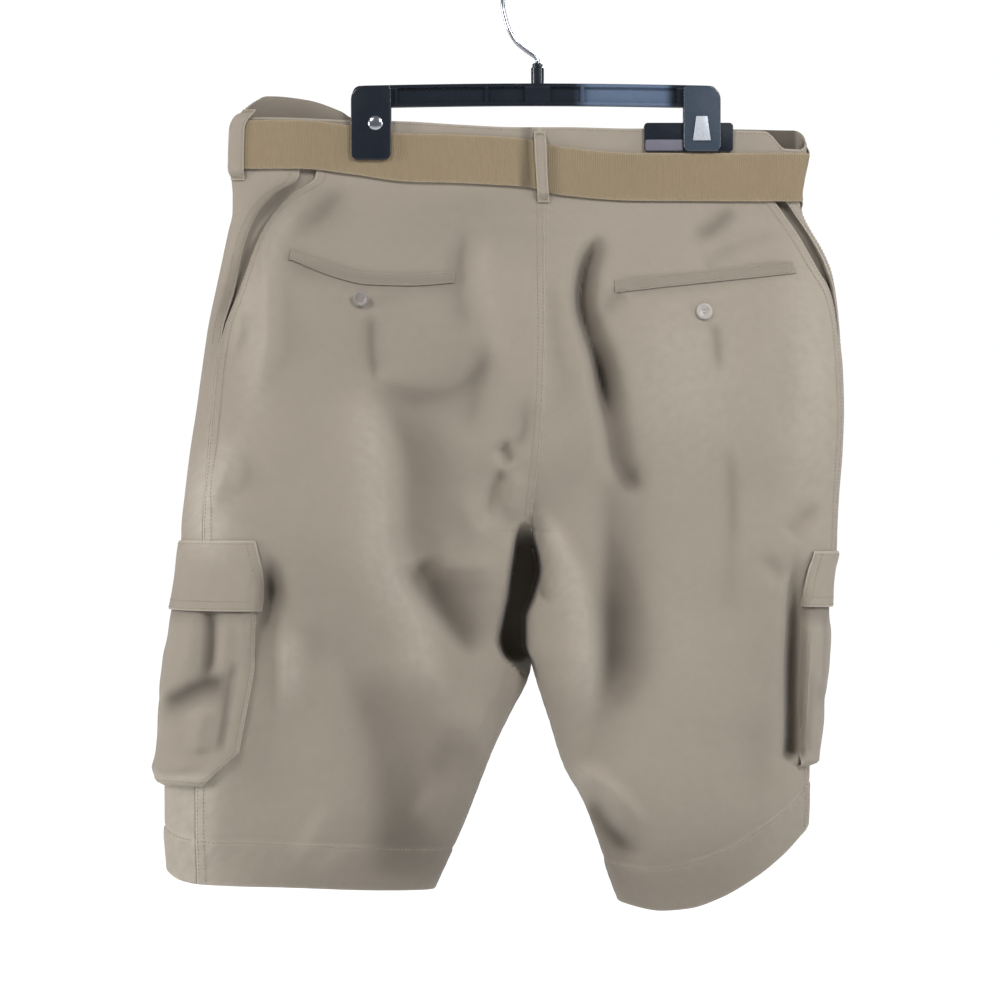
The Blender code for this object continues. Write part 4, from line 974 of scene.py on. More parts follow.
def twill_cloth(name, dye, paled):
    """Washed cotton twill."""
    material, tree, bump, lay, speckle = washed_cloth(
        name, dye, paled, roughness=0.86, sheen=0.25, specular=0.25)
    ribs = tree.nodes.new("ShaderNodeGroup")
    ribs.node_tree = TWILL
    ribs.inputs["Rib Pitch"].default_value = TWILL_PITCH
    tree.links.new(lay, ribs.inputs["Lay"])
    tree.links.new(ribs.outputs["Speckle"], speckle)
    fuzz = noise(tree, lay, 420.0, 2.0)
    height = maths(tree, "MULTIPLY_ADD", fuzz, 1.2, ribs.outputs["Height"])
    raise_by(tree, bump, height, strength=0.35, depth=0.00010)
    return material


def web_cloth(name, dye, paled):
    """Ribbed webbing: close ribs across the belt and a herringbone along it."""
    material, tree, bump, lay, speckle = washed_cloth(
        name, dye, paled, roughness=0.74, sheen=0.2, specular=0.3)
    parts = tree.nodes.new("ShaderNodeSeparateXYZ")
    tree.links.new(lay, parts.inputs[0])
    rib = maths(tree, "SINE", maths(tree, "MULTIPLY", parts.outputs[0], 2 * math.pi / WEB_PITCH))
    zigzag = maths(tree, "PINGPONG", parts.outputs[1], 0.0032)
    slant = maths(tree, "ADD", parts.outputs[0], zigzag)
    weft = maths(tree, "SINE", maths(tree, "MULTIPLY", slant, 2 * math.pi / WEFT_PITCH))
    height = maths(tree, "MULTIPLY_ADD", weft, 0.5, rib)
    raise_by(tree, bump, height, strength=0.6, depth=0.00018)
    tree.links.new(noise(tree, lay, 700.0, 1.0), speckle)
    return material


def hard_finish(name, colour, roughness, grain=300.0, **values):
    """Plastic, horn or metal with a slight unevenness in its gloss and face."""
    material, tree, shader, bump = principled(name, colour, roughness, **values)
    place_on = tree.nodes.new("ShaderNodeTexCoord")
    grainy = noise(tree, place_on.outputs["Object"], grain, 3.0)
    smudge = noise(tree, place_on.outputs["Object"], grain / 8, 2.0)
    spread = 0.35 * roughness + 0.05
    gloss = maths(tree, "MULTIPLY_ADD", maths(tree, "SUBTRACT", smudge, 0.5), spread, roughness)
    tree.links.new(gloss, shader.inputs["Roughness"])
    darker = tuple(c * 0.82 for c in colour) + (1,)
    paler = tuple(min(1, c * 1.15) for c in colour) + (1,)
    tree.links.new(mixed(tree, grainy, darker, paler), shader.inputs["Base Color"])
    raise_by(tree, bump, grainy, strength=0.35, depth=0.00004)
    return material


def painted_sheen(material, start, end, colour):
    """Paint a paler sheen on a stretch of a material along x, with soft ends."""
    tree = material.node_tree
    shader = tree.nodes["Principled BSDF"]
    parts = tree.nodes.new("ShaderNodeSeparateXYZ")
    tree.links.new(tree.nodes.new("ShaderNodeTexCoord").outputs["Object"], parts.inputs[0])
    share = None
    for low, high in ((start - 0.012, start + 0.006), (end + 0.005, end - 0.004)):
        edge = tree.nodes.new("ShaderNodeMapRange")
        edge.interpolation_type = "SMOOTHSTEP"
        edge.inputs["From Min"].default_value = low
        edge.inputs["From Max"].default_value = high
        tree.links.new(parts.outputs[0], edge.inputs["Value"])
        share = edge.outputs[0] if share is None else maths(tree, "MULTIPLY", share, edge.outputs[0])
    paled = mixed(tree, share, (0, 0, 0, 1), (*colour, 1))
    tree.links.new(shader.inputs["Base Color"].links[0].from_socket, paled.node.inputs[6])
    tree.links.new(paled, shader.inputs["Base Color"])


KHAKI = twill_cloth("khaki_twill_washed", (0.388, 0.338, 0.279), (0.58, 0.53, 0.45))
WEB = web_cloth("tan_webbing_ribbed", (0.318, 0.243, 0.147), (0.50, 0.42, 0.31))
THREAD = hard_finish("khaki_thread", (0.36, 0.30, 0.23), 0.8, 900.0)
SHELL_BUTTON = {
    "pale": hard_finish("button_shell_pale", (0.47, 0.44, 0.41), 0.34, 160.0, coat_weight=0.2),
    # The second finish is the same shell made darker, as painted shade.
    "shaded_copy": hard_finish("button_shell_painted_shade", (0.27, 0.25, 0.235), 0.45, 160.0, coat_weight=0.1),
}
PLASTIC, BAR_PLASTIC = (
    hard_finish(f"black_plastic_{kind}", (0.009, 0.014, 0.024), 0.28, 500.0, coat_weight=0.35)
    for kind in ("moulded", "painted_sheen"))
# A painted sheen along the bar's right web.
painted_sheen(BAR_PLASTIC, 0.040, 0.108, (0.125, 0.175, 0.265))
PLASTIC_BLUE = hard_finish("blue_grey_plastic_moulded", (0.050, 0.070, 0.100), 0.26, 500.0,
                           coat_weight=0.5)
PAD_GREY = hard_finish("lilac_grey_pad", (0.17, 0.165, 0.21), 0.5, 700.0)
PLATED = hard_finish("pale_plated_steel", (0.62, 0.66, 0.72), 0.5, 400.0, metallic=0.4)
STEEL = hard_finish("bright_steel_plated", (0.62, 0.66, 0.74), 0.20, 400.0, metallic=1.0)
BRASS = hard_finish("dull_brass_plate", (0.45, 0.36, 0.21), 0.36, 300.0, metallic=1.0)


# ---------------------------------------------------------------- panels

def panel_rows(side):
    """Row heights of a panel at its centre line, about 3 mm apart over the cloth."""
    above = np.arange(PANEL_TOP, RISE_TURN, 2.6)
    turning = RISE_TURN + (CROTCH - RISE_TURN) * np.sin(np.radians(np.linspace(0, 90, 44)))
    low = float(along(SIDES[side]["hem"], 1, along(SIDES[side]["outline"], 3, 760)))
    below = CROTCH + (low - CROTCH) * edged(104, 0.003)[3:]
    return np.concatenate([above, turning, below])


def front_start(side, drop):
    """Where a front panel's outer edge runs: along the slant mouth, then down the side seam."""
    half = SIDES[side]
    open_share = np.clip((MOUTH_END - np.asarray(drop, dtype=float)) / (MOUTH_END - PANEL_TOP), 0, 1)
    gap = along(MOUTH_GAP, 1 if side == "left" else 2, drop)
    mouth = along(half["outline"], 2, drop) - half["turn"] * gap
    return np.array([place(side, x, d) for x, d in zip(mouth, drop)]), open_share


def panel_grid(side, face, columns=128):
    """Places (t, drop) of a panel, and how open its slant pocket's mouth is beside each row."""
    centre = panel_rows(side)
    drop = np.tile(centre, (columns + 6, 1))
    half_gap = SEAM_GAP / 2 / 260.0
    u = edged(columns, 0.006)[:, None]
    for _ in range(3):
        if face == "back":
            t = u * (seam_place(side, drop[-1]) - half_gap)[None, :]
            open_share = np.zeros(len(centre))
        else:
            start, open_share = front_start(side, drop[0])
            t = (start + half_gap)[None, :] + u * (1 - start - half_gap)[None, :]
        top = along(BAND_BOTTOM, 1, cloth(side, t[:, :1], 165.0)[..., 0]) + 2 * SEAM_GAP
        low = along(SIDES[side]["hem"], 1, cloth(side, t[:, -1:], 745.0)[..., 0])
        near_top = 1 - ease(PANEL_TOP, 350, centre)[None, :]
        near_hem = ease(560, centre[-1], centre)[None, :]
        drop = centre[None, :] + (top - centre[0]) * near_top + (low - centre[-1]) * near_hem
    return t, drop, open_share


SIDE_SEAM_LINES, SEAT_SEAM_LINES = (2.0, 7.6), (1.8, 6.6)
SIDE_DIP, CENTRE_DIP = 0.45, 0.35
FELL_START, FELL_END = 7.0, 9.0
SIDE_PUCKER, CENTRE_PUCKER = 0.28, 0.20
HEM_GROOVE, HEM_ROPING, HEM_DIP = 0.7, 0.22, 0.7
HEM_TURNING = 1.1


def panel(side, face):
    """A back or front panel with its felled seams, turned hem and topstitching."""
    turn = SIDES[side]["turn"]
    t, drop, open_share = panel_grid(side, face)
    base = cloth(side, t, drop)
    normal = normals(base, turn)
    across, down = spans(base)
    to_hem = down[:, -1:] - down
    to_side = across[-1:] - across if face == "back" else across
    to_centre = across if face == "back" else across[-1:] - across
    rise = -SIDE_DIP * (1 - ease(0, 1.6, to_side)) - CENTRE_DIP * (1 - ease(0, 1.4, to_centre))
    pucker = np.sin(down / 1.9 + 2.0 * rumple(across, down, 17.0, 5))
    if face == "back":
        rise += SIDE_DIP * (1 - ease(FELL_START, FELL_END, to_side))
        rise += SIDE_PUCKER * pucker * np.exp(-((to_side - 4.5) / 4.0) ** 2)
    rise += CENTRE_PUCKER * pucker * np.exp(-((to_centre - 4.0) / 4.0) ** 2)
    hem = 1 - ease(HEM_DEPTH - 1.2, HEM_DEPTH + 0.6, to_hem)
    roping = np.sin((across + 0.6 * to_hem) / 2.6 + 2.5 * rumple(across, down, 22.0, 6))
    rise += HEM_FULLNESS * hem - HEM_GROOVE * np.exp(-((to_hem - HEM_DEPTH) / 1.6) ** 2)
    rise += HEM_ROPING * roping * np.exp(-((to_hem - HEM_DEPTH + 8) / 9.0) ** 2)
    rise -= HEM_DIP * (1 - ease(0, 1.8, to_hem))
    if face == "front":
        flare = MOUTH_FLARE[side] * np.sqrt(open_share) * (1 - ease(0.52, 0.72, open_share))
        rise += flare[None, :] * np.exp(-(across / 22.0) ** 2)
    wear_and_highlight = 0.8 * (1 - ease(0, 3.0, to_hem)) + 0.35 * (1 - ease(0, 2.2, np.abs(to_hem - HEM_DEPTH)))
    wear_and_highlight += 0.35 * (1 - ease(0.5, 3.0, to_side)) + 0.2 * (1 - ease(0.5, 2.5, to_centre))
    outer = base + normal * rise[..., None]
    inner = base - normal * (CLOTH_WALL + HEM_TURNING * hem)[..., None]
    name = f"{face}_{side}_panel"
    # Painted shade and painted highlight for this panel, from its folds, lines and patches; the paler
    # share is painted highlight added to the rubbed edges.
    painted_shade, pale = painted_shade_and_highlight(side, t, base[..., 0], drop)
    wear_and_highlight = np.clip(wear_and_highlight + pale, 0, 1)
    # Inner face: painted shade at half strength.
    shown(shell(name, outer, inner, turn, KHAKI, wear_and_highlight, painted_shade, 0.5), [f"{face}_{side}"])
    seams = [(["last_row"], [HEM_DEPTH - 1.0], 0.01, 0.99)]
    if face == "back":
        seams.append((["last_column"], SIDE_SEAM_LINES, 0.0, 0.985))
        if side == "left":
            seams.append((["first_column"], SEAT_SEAM_LINES, 0.0, 0.5))
    else:
        seams.append((["first_column"], SIDE_SEAM_LINES, 0.0, 0.24))
    stitched(name, outer, normal, *seams)


def seam_allowance(side, kind):
    """The allowance inside a felled seam, down the outer side or the inside of the leg."""
    turn = SIDES[side]["turn"]
    if kind == "side":
        drop = np.linspace(MOUTH_END - 2, SEAM_LOW, 90)
        t = seam_place(side, drop)[None, :] + np.linspace(-1, 1, 7)[:, None] * ALLOWANCE_SHARE[side]
    else:
        drop = np.linspace(CROTCH + 14, SEAM_LOW, 70)
        t = np.array([0.025, 0.016, 0.008, 0.0, 0.992, 0.984, 0.975])[:, None]
        turn = -turn
    drop = drop[None, :]
    for _ in range(2):
        edge = along(SIDES[side]["hem"], 1, cloth(side, t, drop)[:, -1:, 0]) - 3.0
        drop = drop[:1] + (edge - drop[:1, -1:]) * ease(560, SEAM_LOW, drop[:1])
    t, drop = np.broadcast_arrays(t, drop)
    base = cloth(side, t, drop)
    normal = normals(base, turn)
    near = base - normal * ALLOWANCE_DEPTH
    # Painted shade on the hidden allowances.
    shown(shell(f"{kind}_seam_{side}_allowance", near, near - normal, turn, KHAKI, 0.0, 0.5, 0.5))


def slant_facing(side):
    """The pocket facing behind the slant pocket's mouth."""
    turn = SIDES[side]["turn"]
    level = np.linspace(PANEL_TOP, MOUTH_END + 4, 70)
    mouth, open_share = front_start(side, level)
    start, end = seam_place(side, level) - FACING_TUCK, np.minimum(mouth + FACING_TUCK, 0.56)
    u = np.linspace(0, 1, 36)[:, None]
    t = start[None, :] + u * (end - start)[None, :]
    top = along(BAND_BOTTOM, 1, cloth(side, t[:, :1], 165.0)[..., 0]) + 2 * SEAM_GAP
    near_top = 1 - ease(PANEL_TOP, MOUTH_END, level)[None, :]
    drop = level[None, :] + (top - level[0]) * near_top
    base = cloth(side, t, drop)
    normal = normals(base, turn)
    recess = FACING_RECESS[side] * np.sin(math.pi * u) ** 2 * ease(0.0, 0.25, open_share)[None, :]
    depth = (CLOTH_WALL + LAY_GAP + 0.3 + recess)[..., None]
    piece = shell(f"slant_facing_{side}_cloth", base - normal * depth, base - normal * (depth + 1.0),
                  turn, KHAKI, painted_shade=FACING_SHADE[side])
    shown(piece, [f"slant_facing_{side}"])


def waistband(side):
    """One half of the waistband, with topstitching along both edges."""
    turn = SIDES[side]["turn"]
    t = np.linspace(0, 1, 181)[:, None]
    top = band_edge(BAND_TOP_BACK, BAND_TOP_FRONT, cloth(side, t, 125.0)[..., 0], t)
    low = along(BAND_BOTTOM, 1, cloth(side, t, 165.0)[..., 0])
    drop = top + (low - top) * edged(14, 0.035)[None, :]
    t, drop = np.broadcast_arrays(t, drop)
    base = cloth(side, t, drop)
    normal = normals(base, turn)
    sink, nearest = rounded_edges(base, 1.6, 0.5)
    across, down = spans(base)
    pucker = np.sin(across / 2.2 + 2.0 * rumple(across, down, 15.0, 8))
    sink = sink + 0.16 * pucker * np.exp(-((nearest - 4) / 3) ** 2)
    outer = base + normal * (BAND_RISE + sink)[..., None]
    inner = base + normal * (BAND_RISE - BAND_WALL - sink)[..., None]
    wear_and_highlight = 0.5 * (1 - ease(0, 2.0, nearest))
    x = base[..., 0]
    # Painted shadow beside the centre back loop, and painted shade on the inside of the front and in
    # the gap at the right end.
    painted_loop_shadow = np.exp(-((x + 8.5) / 4.0) ** 2) * (t < 0.3)
    painted_end_shade = ease(178, 190, x) * (1 - ease(212, 218, x)) if side == "right" else 0.0
    inside = np.maximum(0.4 * ease(0.4, 0.6, t), painted_end_shade)
    piece = shell(f"waistband_{side}_cloth", outer, inner, turn, KHAKI, wear_and_highlight, 0.8 * painted_loop_shadow,
                  inside)
    shown(piece, [f"waistband_{side}"])
    stitched(f"waistband_{side}", outer, normal, (["first_row", "last_row"], [2.2]))


# ---------------------------------------------------------------- belt

def belt_rise(turn):
    """How far the belt's inside stands off; it clears the button at the front."""
    return BELT_INSIDE + CLOSURE_RISE * ease(0.86, 0.95, np.abs(turn))


def belt_edges(turn):
    """Upper edge of the belt at places round the waist."""
    return along(BELT_TOP, 1, ring(turn, 150.0)[..., 0])


def belt_face(turns, over):
    """Inside and outside of a stretch of the belt, from the places and the extra height."""
    turn = turns[:, None]
    drop = belt_edges(turns)[:, None] + BELT_WIDTH * edged(12, 0.03)[None, :]
    base = ring(turn, drop)
    normal = normals(base, 1.0)
    down = spans(base)[1]
    edge_only = np.minimum(down, down[:, -1:] - down)
    sink = -0.55 * (1 - ease(0, 1.5, edge_only)) + 0.12 * (1 - ease(1.5, 4.0, edge_only))
    rise = (belt_rise(turns) + over)[:, None]
    outer = base + normal * (rise + BELT_WALL + sink)[..., None]
    inner = base + normal * (rise - sink * 0.5)[..., None]
    x = base[..., 0]
    # Painted shadow beside the centre back loop, on both its sides.
    painted_loop_shadow = 0.85 * np.exp(-((x + 9.0) / 4.2) ** 4)
    painted_loop_shadow = painted_loop_shadow + 0.35 * np.exp(-((x - 12.0) / 5.0) ** 2)
    return outer, inner, edge_only, painted_loop_shadow * (np.abs(turn) < 0.3)


def belt():
    """The web belt: once round from the buckle, then its free end over the left front."""
    first = np.linspace(-1.0, 0.997, 330)
    tail = np.linspace(1 - TAIL_LENGTH, 1.0, 26)
    under = (BELT_WALL + SEAM_GAP) * ease(0.90, 0.97, -first)
    over = np.full(len(tail), BELT_WALL + SEAM_GAP)
    around, end = belt_face(first, under), belt_face(tail, over)
    outer, inner, nearest, painted_shade = (
        np.concatenate([a[::-1], b[::-1]]) for a, b in zip(around, end))
    wear_and_highlight = 0.7 * (1 - ease(0, 1.8, nearest))
    piece = shell("belt_webbing", outer, inner, -1.0, WEB, wear_and_highlight, painted_shade)
    shown(piece, ["belt"])


def belt_loop(name, turn):
    """A stitched loop over the belt, sewn down above and below it."""
    layers = 2 if turn > 1 - TAIL_LENGTH else 1
    step = 0.002
    ends = ring(np.array([turn - step, turn + step]), 150.0)
    half = LOOP_WIDTH / 2 / (float(np.linalg.norm(ends[1] - ends[0])) / (2 * step))
    across = turn + half * (2 * edged(6, 0.08)[:, None] - 1)
    top = float(belt_edges(np.array([turn]))[0])
    low = top + BELT_WIDTH
    drop = np.linspace(top - LOOP_REACH, low + LOOP_REACH, 44)[None, :]
    over = float(belt_rise(turn)) + layers * (BELT_WALL + SEAM_GAP) + SEAM_GAP
    on_band = BAND_RISE + LAY_GAP
    lift = ease(top - 7.0, top - 1.5, drop) * ease(-low - 7.0, -low - 1.5, -drop)
    rise = on_band + (over - on_band) * lift
    across, drop, rise = np.broadcast_arrays(across, drop, rise)
    base = ring(across, drop)
    normal = normals(base, 1.0)
    sink, nearest = rounded_edges(base, 1.4, 0.35)
    outer = base + normal * (rise + 1.2 + sink)[..., None]
    inner = base + normal * rise[..., None]
    wear_and_highlight = 0.5 * (1 - ease(0, 1.6, nearest))
    shown(shell(f"{name}_cloth", outer, inner, 1.0, KHAKI, wear_and_highlight), [name])
    for edge in ("first_row", "last_row"):
        for gap in (1.6, 2.3, 3.0):
            sew(*parallel_line(outer, normal, edge, gap), pitch=BAR_PITCH)
    stitched(name, outer, normal, (["first_column", "last_column"], [1.9]))


# ---------------------------------------------------------------- pockets

POCKET_LINES = (2.0, 8.0)
POCKET_EDGES = ("first_column", "last_row", "last_column")
WELT_WALL, POCKET_WALL, FLAP_WALL = 1.0, 1.3, 1.5


def lay_on(side, t, drop, rise, wall, node, wear_edge=0.5, shade=0.0):
    """Lay cloth on the surface for a node, its outside at rise; gives its grid and normals."""
    turn = SIDES[side]["turn"]
    t, drop, rise = np.broadcast_arrays(t, drop, rise)
    base = cloth(side, t, drop)
    normal = normals(cloth(side, t, drop, 0.0), turn)
    drawn, nearest = rounded_edges(base, 1.6, 0.45)
    outer = base + normal * (rise + drawn)[..., None]
    inner = base + normal * (rise - wall)[..., None]
    wear_and_highlight = wear_edge * (1 - ease(0, 2.2, nearest))
    # Painted shade and painted highlight from the folds, lines and patches; the paler share is painted
    # highlight added to the rubbed edges.
    painted_shade, pale = painted_shade_and_highlight(side, t, base[..., 0], drop)
    wear_and_highlight = np.clip(wear_and_highlight + pale, 0, 1)
    painted_shade = np.maximum(painted_shade, shade)
    shown(shell(f"{node}_cloth", outer, inner, turn, KHAKI, wear_and_highlight, painted_shade), [node])
    return outer, normal


def welt(side):
    """A back pocket's welt, with its stitched edge."""
    line = WELTS[side]["line"]
    near, far = (line[-1], line[0]) if side == "left" else (line[0], line[-1])
    u = edged(52, 0.012)[:, None]
    t0, t1 = place(side, *near), place(side, *far)
    t = t0 + u * (t1 - t0)
    centre = along(line, 1, cloth(side, t, 252.0)[..., 0])
    v = edged(6, 0.08)[None, :]
    drop = centre + WELT_HEIGHT * (v - 0.5)
    rise = LAY_GAP + 1.0 + 0.5 * ease(0.2, 0.8, v)
    node = f"welt_{side}"
    # The welt gets painted shade for the soft dark band along it.
    outer, normal = lay_on(side, t, drop, rise, WELT_WALL, node, 0.2, shade=0.24)
    stitched(node, outer, normal, (["first_row", "last_row", "first_column", "last_column"], [1.5]))


def fly_placket():
    """The stitched fly on the left front, with its rounded lower end."""
    u = edged(12, 0.03)[:, None]
    drop = (PANEL_TOP + 1.5 + (FLY_END - 5 - PANEL_TOP) * edged(60, 0.006))[None, :]
    round_low = np.sqrt(np.clip((FLY_END - drop) / 34.0, 0.0, 1.0))
    t = 1 - 0.0012 - u * FLY_SHARE * round_low
    outer, normal = lay_on("left", t, drop, LAY_GAP + 1.0, 1.0, "fly_placket")
    stitched("fly_placket", outer, normal, (["last_column"], POCKET_LINES))


def cargo_pocket(side):
    """A bellows pocket with cut lower corners and the creases of its cloth."""
    size = CARGO[side]
    u, v = edged(60, 0.012)[:, None], edged(64, 0.012)[None, :]
    drop = size["top"] + v * (size["low"] - size["top"])
    corner = size["corner"] * np.clip((v - 0.85) / 0.15, 0, 1)
    t = size["rear"] + (size["front"] - size["rear"]) * (corner + u * (1 - 2 * corner))
    t, drop = np.broadcast_arrays(t, drop)
    rear = size["rear_stand"] + (1 - size["rear_stand"]) * ease(0, 0.014, u)
    lift = np.minimum(np.minimum(rear, ease(0, 0.014, 1 - u)), ease(0, 0.02, 1 - v))
    across, down = np.broadcast_arrays(u * POCKET_WIDTH, v * (size["low"] - size["top"]))
    calm = 1 - 0.75 * (side == "right") * ease(0.02, 0.1, u)
    creases = fold_height("pocket", across, down) * calm
    wave = (0.7 * rumple(across, down, 42.0, 21) + 0.25 * rumple(across, down, 16.0, 22)) * calm
    stand = CARGO_STAND * ease(0.0, 0.38, v) * lift + (creases + wave) * lift * ease(0.18, 0.3, v)
    rise = LAY_GAP + 1.4 + np.maximum(stand, 0)
    # Painted shade in the deeper creases and under the flap.
    shade = np.clip(-creases / 6.0, 0, 1) * ease(0.18, 0.3, v) + 0.5 * (1 - ease(0.2, 0.32, v))
    node = f"cargo_pocket_{side}"
    shade = np.clip(shade, 0, 1)
    outer, normal = lay_on(side, t, drop, rise, POCKET_WALL, node, 0.6, shade=shade)
    stitched(node, outer, normal, (POCKET_EDGES, POCKET_LINES, 0.02, 0.98))


def cargo_flap(side):
    """The flap over a cargo pocket, sewn along its top edge and hanging clear below it."""
    size = CARGO[side]
    u, v = edged(60, 0.012)[:, None], edged(22, 0.025)[None, :]
    drop = size["flap_top"] + v * (size["flap_low"] - size["flap_top"])
    t = size["rear"] - FLAP_MARGIN + (size["front"] - size["rear"] + 2 * FLAP_MARGIN) * u
    t, drop = np.broadcast_arrays(t, drop)
    wave = 0.7 * rumple(u * 160, v * 60, 30.0, 31) * ease(0.1, 0.6, v)
    rise = FLAP_LOW_STAND + FLAP_STAND * v ** 0.7 + wave
    node = f"cargo_flap_{side}"
    outer, normal = lay_on(side, t, drop, rise, FLAP_WALL, node, 0.7)
    stitched(node, outer, normal, (POCKET_EDGES, POCKET_LINES, 0.03, 0.97), (["first_row"], [3.0]))


# ---------------------------------------------------------------- buttons and turned pieces

def from_bmesh(name, bm, material, smooth_angle):
    """An object from a finished bmesh."""
    mesh = bpy.data.meshes.new(name)
    bm.to_mesh(mesh)
    bm.free()
    return mesh_object(name, mesh, material, smooth_angle)


TURNED_STEPS = 48


def turned(name, profile, point, axis, material, replaced):
    """A turned piece from a profile of (radius, height), set at a point along an axis."""
    bm = bmesh.new()
    rings = []
    for radius, height in profile:
        angles = np.arange(TURNED_STEPS if radius else 1) * 2 * math.pi / TURNED_STEPS
        rings.append([bm.verts.new(Vector((radius * math.cos(a), radius * math.sin(a), height)) * MM)
                      for a in angles])
    for low, high in zip(rings, rings[1:]):
        for k in range(TURNED_STEPS):
            m = (k + 1) % TURNED_STEPS
            corners = ((low, k), (low, m), (high, m), (high, k))
            bm.faces.new(dict.fromkeys(verts[n % len(verts)] for verts, n in corners))
    bmesh.ops.recalc_face_normals(bm, faces=bm.faces[:])
    piece = from_bmesh(name, bm, material, 40)
    lean = Vector(axis).to_track_quat("Z", "Y").to_matrix().to_4x4()
    piece.matrix_world = Matrix.Translation(Vector(point) * MM) @ lean
    shown(piece, replaced)


# A button's half section: shares of its radius and of its thickness
BUTTON_SHAPE = [
    (0, 0.62), (0.42, 0.62), (0.58, 0.72), (0.70, 0.95), (0.80, 1.0), (0.92, 0.93), (1.0, 0.66),
    (0.97, 0.35), (0.8, 0.05), (0.6, 0.0), (0, 0),
]


def button(name, side, t, drop, rise, radius, thick, lean=(0, 0, 0), finish="pale"):
    """A dished sew-through button with its thread; lean tips it out of the cloth's plane."""
    grid = cloth(side, np.array([t - 0.004, t, t + 0.004])[:, None],
                 np.array([drop - 1.0, drop, drop + 1.0])[None, :])
    way = normals(grid, SIDES[side]["turn"])[1, 1]
    base = grid[1, 1] + way * (rise + SEAM_GAP + radius * np.linalg.norm(lean))
    way = way + np.array(lean)
    way = way / np.linalg.norm(way)
    profile = [(radius * across, thick * high) for across, high in BUTTON_SHAPE]
    turned(f"{name}_disc", profile, base, way, SHELL_BUTTON[finish], [name])
    lean = Vector(way).to_track_quat("Z", "Y").to_matrix()
    reach = np.array(lean @ Vector((1, 0, 0))) * radius * 0.24
    for holes in (0.2 * radius, -0.2 * radius):
        for shift in (-0.16, 0.16):
            centre = base + np.array(lean @ Vector((0, holes + shift, thick * 0.68)))
            STITCHES.append((centre - reach, centre + reach, way))
    lay_stitches(f"{name}_thread")


# ---------------------------------------------------------------- closure and hanger

def plate(name, outline, low_y, high_y, bevel, material, replaced, slot):
    """A flat piece: an outline in x and z given thickness in y, with rounded edges."""
    bm = bmesh.new()
    ring_low = [bm.verts.new((x * MM, low_y * MM, z * MM)) for x, z in outline]
    ring_high = [bm.verts.new((x * MM, high_y * MM, z * MM)) for x, z in outline]
    count = len(outline)
    bm.faces.new(ring_low)
    bm.faces.new(ring_high[::-1])
    for k in range(count):
        m = (k + 1) % count
        bm.faces.new((ring_low[k], ring_high[k], ring_high[m], ring_low[m]))
    bmesh.ops.recalc_face_normals(bm, faces=bm.faces[:])
    sharp = [edge for edge in bm.edges if edge.calc_face_angle(0) > math.radians(35)]
    bmesh.ops.bevel(bm, geom=sharp, offset=bevel * MM, offset_type="OFFSET", segments=3, profile=0.5,
                    affect="EDGES", clamp_overlap=True)
    shown(from_bmesh(name, bm, material, 35), replaced)


def rounded(left, right, low, high, radii):
    """A rectangle with round corners, anticlockwise from the upper right one."""
    corners = ((right, high), (left, high), (left, low), (right, low))
    outline = []
    for k, ((x, y), radius) in enumerate(zip(corners, radii)):
        x += radius if x == left else -radius
        y += radius if y == low else -radius
        for step in range(7):
            angle = math.radians(90 * (k + step / 6))
            outline.append((x + radius * math.cos(angle), y + radius * math.sin(angle)))
    return outline


def arched(x):
    """How much higher the bar lies here than at its ends."""
    return BAR_ARCH * np.cos(math.pi * (x - BAR_MIDDLE) / BAR_SPAN)


BAR_RIBS = [BAR_LEFT + 36, -42.0, -9.0, 9.0, 37.0, BAR_RIGHT - 32]
FLANGE, EDGE = 2.6, 0.6


def hanger_bar():
    """The moulded bar: two flanges, a thin web and ribs between them, and the stub on top."""
    stations = set(np.linspace(BAR_LEFT, BAR_RIGHT, 60))
    for rib in BAR_RIBS:
        stations |= {rib + d for d in (-1.9, -1.3, 1.3, 1.9)}
    for end, way in ((BAR_LEFT, 1), (BAR_RIGHT, -1)):
        stations |= {end + way * d for d in (0.6, 1.5, 3.0, 5.0, 33.0, 34.5)}
    stations = np.array(sorted(stations))
    bm = bmesh.new()
    rings = []
    for x in stations:
        from_end = min(x - BAR_LEFT, BAR_RIGHT - x)
        corner = BAR_CORNER - math.sqrt(BAR_CORNER ** 2 - max(BAR_CORNER - from_end, 0.0) ** 2)
        high = -BAR_TOP + float(arched(x)) - min(corner, 6.5)
        low = -BAR_BOTTOM + float(arched(x)) * (from_end > 2)
        at_rib = min(abs(x - rib) for rib in BAR_RIBS) < 1.5
        web = 4.4 if at_rib or from_end < 34.5 or abs(x) < 9.0 else 1.6
        half = BAR_THICK / 2 - 0.8 * (from_end < 1.0)
        under, over = high - FLANGE, low + FLANGE
        section = [(half, high - EDGE), (half - EDGE, high), (EDGE - half, high), (-half, high - EDGE),
                   (-half, under), (-web, under - 0.7), (-web, over + 0.7), (-half, over),
                   (-half, low + EDGE), (EDGE - half, low), (half - EDGE, low), (half, low + EDGE),
                   (half, over), (web, over + 0.7), (web, under - 0.7), (half, under)]
        rings.append([bm.verts.new((x * MM, y * MM, z * MM)) for y, z in section])
    for a, b in zip(rings, rings[1:]):
        for k in range(16):
            m = (k + 1) % 16
            bm.faces.new((a[k], a[m], b[m], b[k]))
    bm.faces.new(rings[0])
    bm.faces.new(rings[-1][::-1])
    bmesh.ops.recalc_face_normals(bm, faces=bm.faces[:])
    bar = from_bmesh("hanger_bar_moulding", bm, BAR_PLASTIC, 30)
    shown(bar, ["hanger_bar"])
    neck = BAR_ARCH - BAR_TOP
    profile = [(0, -STUB_TOP), (3.4, -STUB_TOP), (4.2, -STUB_TOP - 0.8), (4.2, -STUB_TOP - 3),
               (STUB_HALF, -STUB_TOP - 4), (STUB_HALF, neck + 3), (STUB_HALF - 0.3, neck - 1),
               (0, neck - 1)]
    turned("hanger_stub", profile, (0, 0, 0), (0, 0, 1), PLASTIC, [])


